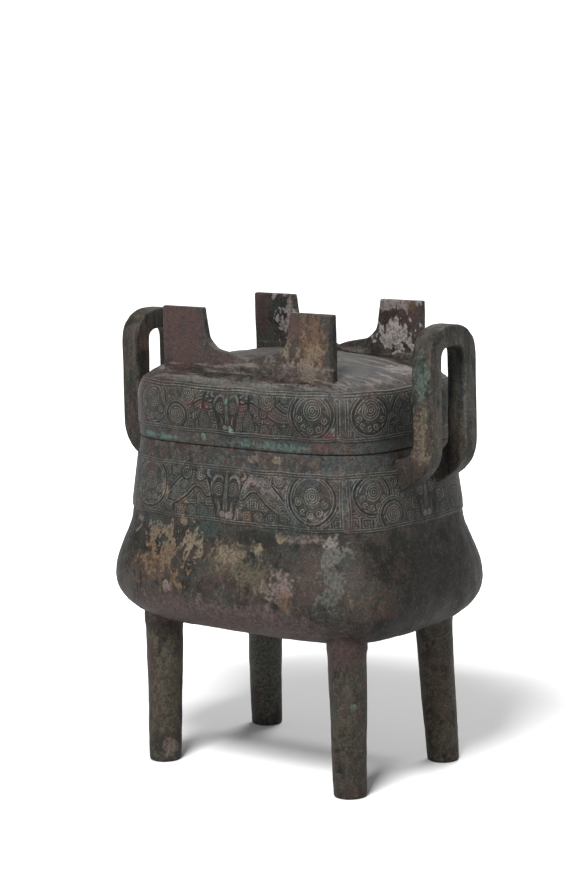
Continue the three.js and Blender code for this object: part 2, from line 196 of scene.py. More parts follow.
class DingPatinaColours(PropertyGroup):
    """The colours of the bronze and of what has grown on it. Some are also laid as painted shade, a
    painted sheen, a painted highlight and a painted reflection.
    """

    # black_green is also laid as painted shade, in the relief's grooves and on the right ends.
    black_green: colour("Black green", "The darkest patina", 0.0035, 0.004, 0.003)
    # dark_brown is also laid as painted shade on the bowl's right end.
    dark_brown: colour("Dark brown", "Dark bronze between the growths", 0.012, 0.0098, 0.008)
    brown: colour("Brown", "Smooth brown bronze", 0.025, 0.0188, 0.0155)
    maroon: colour("Maroon", "Smooth reddish brown bronze", 0.031, 0.0165, 0.0155)
    # grey also carries a painted sheen on the belly's front right corner.
    grey: colour("Grey", "Thin grey-green bloom", 0.05, 0.051, 0.044)
    # The relief line colour is worn metal and dust together with a painted highlight on the raised
    # lines.
    line: colour("Relief line", "Worn metal and dust on the lines of the relief", 0.138, 0.14, 0.124)
    blue_grey: colour("Blue grey", "Cold grey bloom", 0.024, 0.027, 0.029)
    # pale is also laid as a painted highlight along the tops of the front posts.
    pale: colour("Pale crust", "Thick pinkish grey crust", 0.17, 0.15, 0.142)
    tan: colour("Tan", "Earth that clings to the belly", 0.088, 0.07, 0.049)
    olive: colour("Olive", "Thin greenish earth", 0.05, 0.042, 0.027)
    ochre: colour("Ochre", "Warm earth stain", 0.064, 0.036, 0.02)
    # pink is also laid as a painted reflection of the floor on the lower belly.
    pink: colour("Pink", "Pinkish crust", 0.09, 0.068, 0.063)
    teal: colour("Teal", "Blue-green growth", 0.014, 0.023, 0.021)
    mint: colour("Mint", "Pale malachite", 0.058, 0.092, 0.076)
    red: colour("Red", "Red cuprite", 0.046, 0.016, 0.015)


class DingStageSettings(PropertyGroup):
    """The floor, the backdrop and the lights."""

    floor_colour: colour("Floor colour", "Pale floor and backdrop", 0.52, 0.52, 0.52)
    key_power: FloatProperty(name="Key light", description="Soft light in front and above",
                             default=94, unit="POWER")
    rim_power: FloatProperty(name="Rim light", description="Soft light from above and behind",
                             default=30, unit="POWER")
    surround: FloatProperty(name="Surround", description="Brightness of the white studio overhead",
                            default=0.22)
    # Painted light: the floor itself glows, more strongly away from the vessel.
    floor_glow: FloatProperty(name="Floor glow", default=1.0,
                              description="Light that comes through the floor away from the vessel")


GROUPS = {
    "ding_bowl": DingBowlSizes,
    "ding_legs": DingLegSizes,
    "ding_handles": DingHandleSizes,
    "ding_lid": DingLidSizes,
    "ding_flanges": DingFlangeSizes,
    "ding_relief": DingReliefSizes,
    "ding_patina": DingPatinaColours,
    "ding_stage": DingStageSettings,
}


def in_millimetres(group):
    """The sizes of a property group as plain numbers, lengths in millimetres."""
    values = {}
    for prop in group.bl_rna.properties:
        if prop.identifier in ("rna_type", "name"):
            continue
        value = getattr(group, prop.identifier)
        scale = MM if prop.unit == "LENGTH" else 1
        values[prop.identifier] = np.array(value) / scale if prop.is_array else value / scale
    return SimpleNamespace(**values)


def read_sizes(scene):
    """All sizes, with the heights and half lengths that follow from them."""
    size = SimpleNamespace(
        bowl=in_millimetres(scene.ding_bowl),
        legs=in_millimetres(scene.ding_legs),
        handles=in_millimetres(scene.ding_handles),
        lid=in_millimetres(scene.ding_lid),
        flanges=in_millimetres(scene.ding_flanges),
        relief=in_millimetres(scene.ding_relief),
    )
    bowl, lid, relief = size.bowl, size.lid, size.relief
    bowl.belly_height = bowl.underside_height + bowl.belly_rise
    bowl.waist_height = bowl.belly_height + bowl.waist_rise
    bowl.rim_height = bowl.waist_height + bowl.rim_rise
    bowl.waist_half_length = bowl.rim_half_length + bowl.waist_spread
    bowl.belly_half_length = bowl.waist_half_length + bowl.belly_bulge
    bowl.underside_half_length = bowl.belly_half_length - bowl.belly_turn
    bowl.lip_outer_inset = lid.wall + bowl.lip_clearance - lid.overhang
    bowl.lip_inner_inset = bowl.lip_outer_inset + bowl.lip_wall
    lid.rim_height = bowl.rim_height + bowl.seat_gap
    lid.rim_half_length = bowl.rim_half_length + lid.overhang
    lid.shoulder_base = lid.rim_height + lid.shoulder_height
    lid.shoulder_top = lid.shoulder_base + lid.shoulder_rise
    lid.crown_height = lid.shoulder_top + lid.crown
    relief.bowl_band_top = bowl.rim_height - relief.bowl_band_drop
    relief.bowl_band_bottom = relief.bowl_band_top - relief.bowl_band_height
    relief.lid_band_bottom = lid.rim_height + relief.lid_band_rise
    relief.lid_band_top = relief.lid_band_bottom + relief.lid_band_height
    return size


# Plan outline and profiles


def signed_power(value, exponent):
    """A power of a value's size, with the value's sign."""
    return np.sign(value) * np.abs(value) ** exponent


def outline(bowl, half_length, direction, inset=0.0):
    """Points of the rounded-rectangle outline in some directions, moved in along its normal."""
    n = bowl.corner_power
    c, s = np.cos(direction), np.sin(direction)
    reach = (np.abs(c) ** n + np.abs(s) ** n) ** (-1 / n)
    u, v = c * reach, s * reach
    half_width = half_length - bowl.length_over_width
    normal_x = signed_power(u, n - 1) / half_length
    normal_y = signed_power(v, n - 1) / half_width
    norm = np.hypot(normal_x, normal_y)
    return u * half_length - inset * normal_x / norm, v * half_width - inset * normal_y / norm


def bowl_half_length(bowl, z):
    """Half length of the bowl's outside between the belly's widest line and the rim."""
    swell = (1 - np.cos(np.pi * (z - bowl.belly_height) / bowl.waist_rise)) / 2
    below = bowl.belly_half_length + (bowl.waist_half_length - bowl.belly_half_length) * swell
    above = bowl.waist_half_length - bowl.waist_spread * (z - bowl.waist_height) / bowl.rim_rise
    return np.where(z < bowl.waist_height, below, above)


def lid_half_length(lid, z):
    """Half length of the lid's outside between its rim and the top of its shoulder."""
    turn = np.clip((z - lid.shoulder_base) / lid.shoulder_rise, 0, 1)
    return lid.rim_half_length - lid.shoulder_run * (1 - np.sqrt(1 - turn**2))


SIDES = [-math.pi / 2, 0.0, math.pi / 2, math.pi]
LONG_SIDES = (0, 2)
SEEN_SIDES = (0, 1)


class Columns:
    """The upright lines of a fine grid round a wall, evenly spaced along each of its four panels.

    along is the distance from the middle of the panel's side, and reach is the distance to its corner.
    """

    def __init__(self, bowl, half_length, steps):
        directions, along, reach, panel = [], [], [], []
        for i, side in enumerate(SIDES):
            sweep = side + np.linspace(-np.pi / 4, np.pi / 4, 721)
            x, y = outline(bowl, half_length, sweep)
            lengths = np.concatenate([[0], np.cumsum(np.hypot(np.diff(x), np.diff(y)))])
            half = lengths[-1] / 2
            count = int(math.ceil(lengths[-1] / steps[i]))
            places = np.arange(count) * lengths[-1] / count
            directions.append(np.interp(places, lengths, sweep))
            along.append(places - half)
            reach.append(np.full(count, half))
            panel.append(np.full(count, i))
        self.direction = np.concatenate(directions)
        self.along = np.concatenate(along)
        self.reach = np.concatenate(reach)
        self.panel = np.concatenate(panel)
        self.turn = (self.direction + np.pi / 2) / (2 * np.pi)


# Meshes


SHARP_ANGLE = math.radians(38)


class Skin:
    """Points and faces of one casting, gathered shell by shell, in millimetres.

    Each point carries 1 on a line of the ornament, 0 in a groove and a half elsewhere, for the patina,
    which paints lines lighter and grooves darker, partly as painted highlight and painted shade.
    """

    def __init__(self):
        self.points, self.faces, self.relief = [], [], []
        self.count = 0

    def add_points(self, points, relief=None):
        points = np.asarray(points, dtype=float).reshape(-1, 3)
        first = self.count
        self.points.append(points)
        self.relief.append(np.full(len(points), 0.5) if relief is None else np.asarray(relief).ravel())
        self.count += len(points)
        return np.arange(first, self.count)

    def quads(self, low, high):
        """Faces between two closed rings of equal count, the lower one first."""
        next_low, next_high = np.roll(low, -1), np.roll(high, -1)
        self.faces.extend(np.stack([low, next_low, next_high, high], axis=1).tolist())

    def zip(self, low, high, low_turn, high_turn):
        """Triangles between two closed rings of unequal count. Their turns start at the same place."""
        i = j = 0
        while i < len(low) or j < len(high):
            a, b = low[i % len(low)], high[j % len(high)]
            next_low = low_turn[(i + 1) % len(low)] + (i + 1) // len(low)
            next_high = high_turn[(j + 1) % len(high)] + (j + 1) // len(high)
            if j >= len(high) or (i < len(low) and next_low <= next_high):
                self.faces.append([a, low[(i + 1) % len(low)], b])
                i += 1
            else:
                self.faces.append([a, high[(j + 1) % len(high)], b])
                j += 1

    def fan(self, ring, apex, upwards):
        """Closes a ring with triangles to a point over it, or under it."""
        tip = self.add_points([apex])[0]
        following = np.roll(ring, -1)
        pairs = (ring, following) if upwards else (following, ring)
        self.faces.extend([int(a), int(b), int(tip)] for a, b in zip(*pairs))

    def loft(self, rings):
        """A closed shell through rings of equal count that run upwards, anticlockwise from above."""
        indices = [self.add_points(ring) for ring in rings]
        for low, high in zip(indices, indices[1:]):
            self.quads(low, high)
        self.fan(indices[0], np.mean(rings[0], axis=0), upwards=False)
        self.fan(indices[-1], np.mean(rings[-1], axis=0), upwards=True)

    def build(self, name, material):
        """The object, in metres, with its relief attribute and smooth shading."""
        mesh = bpy.data.meshes.new(name)
        points = np.concatenate(self.points) * MM
        mesh.from_pydata(points.tolist(), [], self.faces)
        attribute = mesh.attributes.new("relief", "FLOAT", "POINT")
        attribute.data.foreach_set("value", np.concatenate(self.relief).astype(np.float32))
        mesh.materials.append(material)
        mesh.shade_smooth()
        mesh.set_sharp_from_angle(angle=SHARP_ANGLE)
        mesh.validate()
        piece = bpy.data.objects.new(name, mesh)
        bpy.context.scene.collection.objects.link(piece)
        return piece


def grid_normals(points):
    """Unit normals that point out of a closed grid, rows upwards and columns anticlockwise."""
    round_it = np.roll(points, -1, axis=1) - np.roll(points, 1, axis=1)
    upwards = np.gradient(points, axis=0)
    normal = np.cross(round_it, upwards)
    return normal / np.linalg.norm(normal, axis=2, keepdims=True)


def unevenness(points, seed, wavelength, waves=7):
    """Smooth noise from 0 to 1 at some points, by a sum of waves in seeded directions."""
    draw = np.random.default_rng(seed)
    total = np.zeros(points.shape[:-1])
    for _ in range(waves):
        direction = draw.normal(size=3)
        direction *= 2 * np.pi / (wavelength * draw.uniform(0.6, 1.6) * np.linalg.norm(direction))
        total += np.sin(points @ direction + draw.uniform(0, 2 * np.pi))
    return 0.5 + 0.5 * np.tanh(total / math.sqrt(waves))


# Ornament, drawn as fields of height over a panel: along the wall, and up from the band's foot


def inside(distance, edge=0.5):
    """1 where a distance is below zero and 0 above it, with a soft edge."""
    t = np.clip(0.5 - distance / edge, 0, 1)
    return t * t * (3 - 2 * t)


def threads(phase):
    """Rounded lines, one to each whole step of the phase."""
    return 0.5 + 0.5 * np.cos(2 * np.pi * phase)


def spiral(x, y, pitch, shape="round", hand=1):
    """A spiral line about the origin: round, square or lozenge-shaped."""
    turn = np.arctan2(y, x) / (2 * np.pi)
    distance = {
        "round": lambda: np.hypot(x, y),
        "square": lambda: np.maximum(np.abs(x), np.abs(y)),
        "lozenge": lambda: 0.8 * np.abs(x) + np.abs(y),
    }[shape]()
    return threads(distance / pitch + hand * turn)


def spiral_field(x, y, pitch, cell):
    """Square spirals in rows of cells, each the mirror of its neighbour."""
    column, row = np.floor(x / cell), np.floor(y / cell)
    u, v = x - (column + 0.5) * cell, y - (row + 0.5) * cell
    hand = np.where((column + row) % 2 == 0, 1.0, -1.0)
    return spiral(u * hand, v, pitch, "square")


def along_curve(x, y, knots, samples=48):
    """Distance from a smooth curve through knots, signed by side, and the place along it."""
    knots = np.asarray(knots, dtype=float)
    t = np.linspace(0, len(knots) - 1, samples)
    curve = np.stack([catmull(knots[:, 0], t), catmull(knots[:, 1], t)], axis=1)
    start, step = curve[:-1], np.diff(curve, axis=0)
    reach = np.concatenate([[0], np.cumsum(np.hypot(step[:, 0], step[:, 1]))])
    best = np.full(x.shape, np.inf)
    signed, place = np.zeros(x.shape), np.zeros(x.shape)
    for k in range(len(step)):
        dx, dy = x - start[k, 0], y - start[k, 1]
        size = math.hypot(*step[k])
        share = np.clip((dx * step[k, 0] + dy * step[k, 1]) / size**2, 0, 1)
        away_x, away_y = dx - share * step[k, 0], dy - share * step[k, 1]
        distance = np.hypot(away_x, away_y)
        nearer = distance < best
        best = np.where(nearer, distance, best)
        side = np.sign(step[k, 0] * away_y - step[k, 1] * away_x)
        signed = np.where(nearer, side * distance, signed)
        place = np.where(nearer, reach[k] + share * size, place)
    return signed, place, reach[-1]


def catmull(values, t):
    """A Catmull-Rom curve through values, at places counted in knots."""
    padded = np.concatenate([[2 * values[0] - values[1]], values, [2 * values[-1] - values[-2]]])
    i = np.clip(np.floor(t).astype(int), 0, len(values) - 2)
    f = t - i
    a, b, c, d = padded[i], padded[i + 1], padded[i + 2], padded[i + 3]
    square, cube = 2 * a - 5 * b + 4 * c - d, 3 * b - a - 3 * c + d
    return 0.5 * (2 * b + (c - a) * f + square * f**2 + cube * f**3)


class Ornament:
    """Height and line pattern of a panel, built up feature over feature. The grooves round raised forms
    get the lowest line value, which the patina paints dark as dark patina with painted shade.
    """

    def __init__(self, relief, along, up, reach, height, seed):
        places = np.stack([along, up, np.full(along.shape, 9.0 * seed)], axis=-1)
        self.wear = 0.5 + 0.5 * unevenness(places, seed, 17) * unevenness(places, seed + 1, 5)
        along = along + 0.9 * (unevenness(places, seed + 2, 22) - 0.5)
        up = up + 0.7 * (unevenness(places, seed + 3, 26) - 0.5)
        self.relief = relief
        self.x, self.y, self.reach, self.height = along, up, reach, height
        self.level = np.zeros(along.shape)
        self.lines = spiral_field(along + 200, up - 0.06 * height, relief.thread_pitch, height * 0.22)

    def lay(self, mask, lines=None, level=None):
        """Gives the area of a mask its own lines and its own level."""
        if lines is not None:
            self.lines = self.lines * (1 - mask) + lines * mask
        if level is not None:
            self.level = self.level * (1 - mask) + level * mask

    def ribbon(self, knots, width, level):
        """A dragon's body: contour lines round a row of lozenge spirals, echoed by lines outside."""
        pitch = self.relief.thread_pitch
        signed, place, total = along_curve(self.x, self.y, knots)
        away = np.abs(signed)
        half = width * (0.45 + 0.55 * np.sin(np.pi * np.clip(place / total, 0, 1))) / 2
        echo = inside(away - half - 2.2 * pitch)
        self.lay(echo, lines=threads((away - half) / pitch))
        crease = inside(np.abs(away - half - 0.25 * pitch) - 0.4 * pitch)
        self.lay(crease, lines=0.0, level=self.relief.crease)
        body = inside(away - half)
        cell = width * 0.95
        local = place - (np.floor(place / cell) + 0.5) * cell
        fill = spiral(local, signed, pitch * 0.95, "lozenge")
        edge = inside(half - 1.15 * pitch - away)
        lines = fill * (1 - edge) + threads((away - half) / pitch + 0.5) * edge
        rounded = 0.5 + 0.6 * np.sqrt(np.clip(1 - (away / half) ** 2, 0, 1))
        self.lay(body, lines=lines, level=level * rounded)

    def curl(self, x, y, radius, shape="round", hand=1):
        """A small spiral within a plain groove."""
        pitch = self.relief.thread_pitch
        away = np.hypot(self.x - x, self.y - y)
        field = spiral((self.x - x) * hand, self.y - y, pitch, shape)
        self.lay(inside(away - radius), lines=field)
        self.lay(inside(np.abs(away - radius) - 0.3 * pitch), lines=0.1)

    def coil(self, x, y, radius, eye, rise=0.0):
        """A round coil: two outer rings, curls along its foot and a raised eye within rings."""
        pitch = self.relief.thread_pitch
        away = np.hypot(self.x - x, self.y - y)
        echo = inside(away - radius - 2.4 * pitch)
        self.lay(echo, lines=threads((away - radius) / pitch))
        crease = inside(np.abs(away - radius - 0.25 * pitch) - 0.4 * pitch)
        self.lay(crease, lines=0.0, level=self.relief.crease)
        rounded = 0.6 + 0.6 * np.sqrt(np.clip(1 - (away / radius) ** 2, 0, 1))
        self.lay(inside(away - radius), lines=threads((away - radius) / pitch + 0.5),
                 level=self.relief.coil_proud * rounded)
        self.lay(inside(away - radius + 2.1 * pitch), lines=0.42)
        middle = (radius + eye) / 2 + 0.1 * pitch
        if middle > 3.2 * pitch:
            for i, degrees in enumerate((190, 228, 262, 298, 340)):
                turn = math.radians(degrees)
                self.curl(x + middle * math.cos(turn), y + middle * math.sin(turn), 0.36 * middle,
                          hand=(-1) ** i)
        away = np.hypot(self.x - x, self.y - y - rise)
        rings = threads((away - eye) / pitch)
        self.lay(inside(away - eye - 1.9 * pitch) * inside(np.hypot(self.x - x, self.y - y) - radius),
                 lines=rings)
        self.lay(inside(away - eye, 1.6), level=1.2 * self.relief.coil_proud + self.relief.eye_proud)

    def petal(self, x, y, half_width, half_height):
        """A raised drop, pointed above, with a spiral in it."""
        pitch = self.relief.thread_pitch
        t = np.clip((self.y - y) / half_height, -1, 1)
        away = np.abs(self.x - x) - half_width * np.sqrt(1 - t * t) * (1 - 0.5 * t)
        self.lay(inside(away - 0.9), lines=0.0, level=self.relief.crease)
        field = spiral(self.x - x, self.y - y + 0.2 * half_height, pitch)
        self.lay(inside(away), lines=field * 0.8, level=self.relief.coil_proud)

    def ridge(self, knots, width, level, line=0.74):
        """A raised line along a curve, the same on both sides of the panel's middle. Its foot is painted
        dark as shade, and its top takes a lighter line value as a painted highlight.
        """
        signed, place, total = along_curve(np.abs(self.x), self.y, np.array(knots) * self.height, 24)
        narrowing = 0.6 + 0.4 * np.sin(np.pi * np.clip(place / total, 0, 1))
        away = np.abs(signed) - width * self.height * narrowing / 2
        self.lay(inside(away - 0.9, 0.7), lines=0.0)
        self.lay(inside(away, 0.9), lines=line, level=level)

    def mask(self):
        """The animal mask in the panel's middle: horns, brow, spiral eyes, nose and nostrils. Dark rings
        round its ridges, eyes and nostrils are painted shade in the hollows, and its ridges and nostrils
        carry a painted highlight.
        """
        relief, h = self.relief, self.height
        pitch = relief.thread_pitch
        x, y = np.abs(self.x), self.y / h
        cheek = h * np.interp(y, [0.02, 0.06, 0.12, 0.3, 0.55, 0.75, 0.9, 0.97],
                              [0.0, 0.1, 0.14, 0.18, 0.27, 0.29, 0.40, 0.42])
        notch = h * np.interp(y, [0.86, 0.96], [0.0, 0.13])
        shield = inside(x - cheek, 0.9) * inside(notch - x, 0.8)
        crease = inside(x - cheek - 1.3 * pitch, 1.0) * inside(-self.y + 0.02 * h)
        self.lay(crease, lines=0.0, level=1.8 * relief.crease)
        dome = relief.mask_proud * (0.15 + 0.6 * np.cos(np.clip(x / (0.3 * h), 0, 1) * np.pi / 2))
        self.lay(shield, lines=threads((x - cheek) / pitch + 0.5) * 0.45, level=dome)
        high = relief.mask_proud
        self.ridge([(0.02, 0.86), (0.16, 0.95), (0.33, 0.93), (0.4, 0.82), (0.32, 0.76)], 0.075, high)
        self.ridge([(0.03, 0.66), (0.1, 0.78), (0.22, 0.79), (0.29, 0.66), (0.26, 0.5)], 0.06, high)
        eye_x, eye_y, eye_r = 0.145 * h, 0.58 * h, 0.12 * h
        away = np.hypot(x - eye_x, self.y - eye_y)
        eye = spiral(x - eye_x, self.y - eye_y, pitch * 0.95, "round")
        # Painted shade: a dark ring round the eye.
        self.lay(inside(away - eye_r - 0.5 * pitch, 0.7), lines=0.0)
        self.lay(inside(away - eye_r), lines=eye, level=high * 0.85)
        self.lay(inside(away - 0.35 * eye_r, 0.8), level=high + relief.eye_proud)
        self.ridge([(0.0, 0.9), (0.012, 0.7), (0.02, 0.45), (0.03, 0.24)], 0.055,
                   high + relief.eye_proud, 0.7)
        self.ridge([(0.15, 0.4), (0.12, 0.28), (0.14, 0.16), (0.08, 0.07)], 0.045, high * 0.8)
        nostril = np.hypot(x - 0.06 * h, self.y - 0.17 * h) - 0.062 * h
        # Painted shade round the nostril, and a painted highlight on it.
        self.lay(inside(nostril - 0.6, 0.7), lines=0.0)
        self.lay(inside(nostril, 1.2), lines=0.9, level=high + 0.5 * relief.eye_proud)

    def frame_lines(self):
        """Parallel lines along the top and foot of the panel and beside its corners."""
        relief, h = self.relief, self.height
        pitch = relief.thread_pitch
        from_corner = self.reach - np.abs(self.x)
        beside = inside(from_corner - 2.6 * pitch)
        self.lay(beside, lines=threads(from_corner / pitch), level=0.3 * relief.border_proud)
        top = inside(h - self.y - 3.1 * pitch)
        self.lay(top, lines=threads((h - self.y) / pitch), level=0.2 * relief.border_proud)
        foot = inside(self.y - 2.6 * pitch)
        self.lay(foot, lines=threads(self.y / pitch), level=0.2 * relief.border_proud)
        corner = inside(from_corner - 0.8 * pitch, 0.4)
        self.lay(corner, lines=0.6, level=relief.border_proud)

    def heights(self):
        """Height above the wall, and lines with painted light on them: lighter on raised forms and
        darker on the ground between. Both fade at the edges.
        """
        border = inside(1.2 - np.minimum(self.y, self.height - self.y), 1.4)
        fade = inside(-np.minimum(self.y, self.height - self.y) + 0.5, 1.0)
        height = self.level + self.relief.thread_proud * self.lines * self.wear
        height = height * (1 - border) + self.relief.border_proud * border
        # Painted light: raised forms are made lighter and the ground round them darker, so the forms
        # read as lit.
        raised = np.clip(self.level / self.relief.coil_proud, 0, 1)
        lines = np.clip(self.lines, 0, 1)
        lines = lines * (0.92 + 0.08 * raised) + 0.14 * raised * (1 - lines)
        return height * fade, 0.5 + (lines - 0.5) * fade * self.wear


BOWL_CURLS = ((0.42, 0.83, 0.1, "round"), (0.55, 0.8, 0.12, "round"), (0.86, 0.8, 0.13, "round"),
              (1.12, 0.82, 0.13, "round"), (0.47, 0.17, 0.13, "square"), (0.72, 0.16, 0.12, "lozenge"),
              (0.98, 0.17, 0.13, "square"), (1.22, 0.22, 0.11, "square"), (1.34, 0.78, 0.1, "lozenge"))
LID_CURLS = ((0.5, 0.82, 0.12, "round"), (0.72, 0.2, 0.11, "square"), (0.95, 0.18, 0.12, "square"),
             (1.18, 0.84, 0.12, "round"), (1.4, 0.82, 0.11, "lozenge"), (1.22, 0.18, 0.12, "square"),
             (1.5, 0.2, 0.11, "square"), (0.92, 0.5, 0.1, "round"), (1.65, 0.45, 0.12, "round"))


def bowl_panel(ornament, long_side):
    """The bowl's ornament: a mask, and on each side of it a dragon with its coil by the corner."""
    h, reach = ornament.height, float(ornament.reach[0])
    radius = 0.4 * h if long_side else 0.3 * h
    coil_x = reach - radius - 0.16 * h
    for hand in (-1, 1):
        start, end = 0.36 * h, coil_x - 0.75 * radius
        share = [(0, 0.5), (0.14, 0.68), (0.34, 0.7), (0.56, 0.52), (0.78, 0.36), (1, 0.3)]
        if not long_side:
            share = [(0, 0.6), (0.3, 0.84), (0.62, 0.66), (0.85, 0.3), (1.1, 0.14)]
        knots = [(hand * (start + (end - start) * a), h * b) for a, b in share]
        ornament.ribbon(knots, 0.3 * h if long_side else 0.19 * h, ornament.relief.body_proud)
        for x, y, size, shape in BOWL_CURLS:
            if x * h < coil_x - radius:
                ornament.curl(hand * x * h, y * h, size * h, shape, hand)
        ornament.coil(hand * coil_x, (0.55 if long_side else 0.62) * h, radius, 0.09 * h, 0.04 * h)
        if not long_side:
            ornament.coil(hand * (coil_x - 1.2 * radius), 0.27 * h, 0.7 * radius, 0.09 * h)
    ornament.mask()
    ornament.frame_lines()


def lid_panel(ornament, long_side):
    """The lid's ornament: as on the bowl, with small bosses beside the mask's muzzle."""
    h, reach = ornament.height, float(ornament.reach[0])
    radius = 0.41 * h if long_side else 0.34 * h
    coil_x = reach - radius - 0.2 * h
    for hand in (-1, 1):
        start, end = 0.4 * h, coil_x - 0.8 * radius
        share = [(0, 0.72), (0.2, 0.8), (0.42, 0.7), (0.62, 0.52), (0.8, 0.44), (1, 0.5)]
        knots = [(hand * (start + (end - start) * a), h * b) for a, b in share]
        ornament.ribbon(knots, 0.27 * h if long_side else 0.2 * h, ornament.relief.body_proud)
        for x, y, size, shape in LID_CURLS:
            if x * h < coil_x - radius:
                ornament.curl(hand * x * h, y * h, size * h, shape, hand)
        ornament.coil(hand * coil_x, 0.53 * h, radius, 0.13 * h, 0.1 * h)
        if long_side:
            ornament.curl(hand * 1.0 * h, 0.76 * h, 0.2 * h, "round", hand)
            ornament.petal(hand * 0.56 * h, 0.3 * h, 0.13 * h, 0.23 * h)
    if long_side:
        ornament.coil(-1.3 * h, 0.34 * h, 0.24 * h, 0.1 * h)
    ornament.mask()
    ornament.frame_lines()


def ornament_heights(relief, columns, up, height, draw_panel):
    """Heights and lines over a whole band, panel by panel. up holds each row's place on the band."""
    heights = np.zeros((len(up), len(columns.along)))
    lines = np.zeros_like(heights)
    for panel in range(len(SIDES)):
        chosen = columns.panel == panel
        along, rows = np.meshgrid(columns.along[chosen], up)
        ornament = Ornament(relief, along, rows, columns.reach[chosen], height, 80 + 5 * panel)
        draw_panel(ornament, panel in LONG_SIDES)
        heights[:, chosen], lines[:, chosen] = ornament.heights()
    return heights, lines


# The bowl with its legs and handles


def ring_points(bowl, z, half_length, turns, inset=0.0, share=1.0):
    """A ring of the outline at one height. Turn 0 is at the middle of the front."""
    x, y = outline(bowl, half_length, turns * 2 * np.pi - np.pi / 2, inset)
    return np.stack([x * share, y * share, np.full(len(turns), z)], axis=1)


def even_turns(count):
    """Turns for a coarse ring from the front left corner on, closer together round the corners."""
    turn = (np.arange(count) + 0.5) / count * 2 * np.pi
    direction = np.arctan2(signed_power(np.sin(turn), 0.6), signed_power(np.cos(turn), 0.6))
    return np.sort(((direction + np.pi / 2) / (2 * np.pi) + 0.125) % 1) - 0.125


def fine_wall(skin, bowl, columns, rows, half_lengths, heights, lines):
    """A fine grid of wall, pushed out along its normals by some heights. Gives its ring indices."""
    x, y = outline(bowl, half_lengths[:, None], columns.direction[None, :])
    points = np.stack([x, y, np.broadcast_to(rows[:, None], x.shape)], axis=2)
    points = points + grid_normals(points) * heights[:, :, None]
    rings = [skin.add_points(points[i], lines[i]) for i in range(len(rows))]
    for low, high in zip(rings, rings[1:]):
        skin.quads(low, high)
    return rings


def rows_between(low, high, step):
    """Heights from low to high, evenly spaced and no further apart than a step."""
    return np.linspace(low, high, max(2, int(math.ceil((high - low) / step)) + 1))


BELLY_SIDES = 160
HOLLOW_SIDES = 96


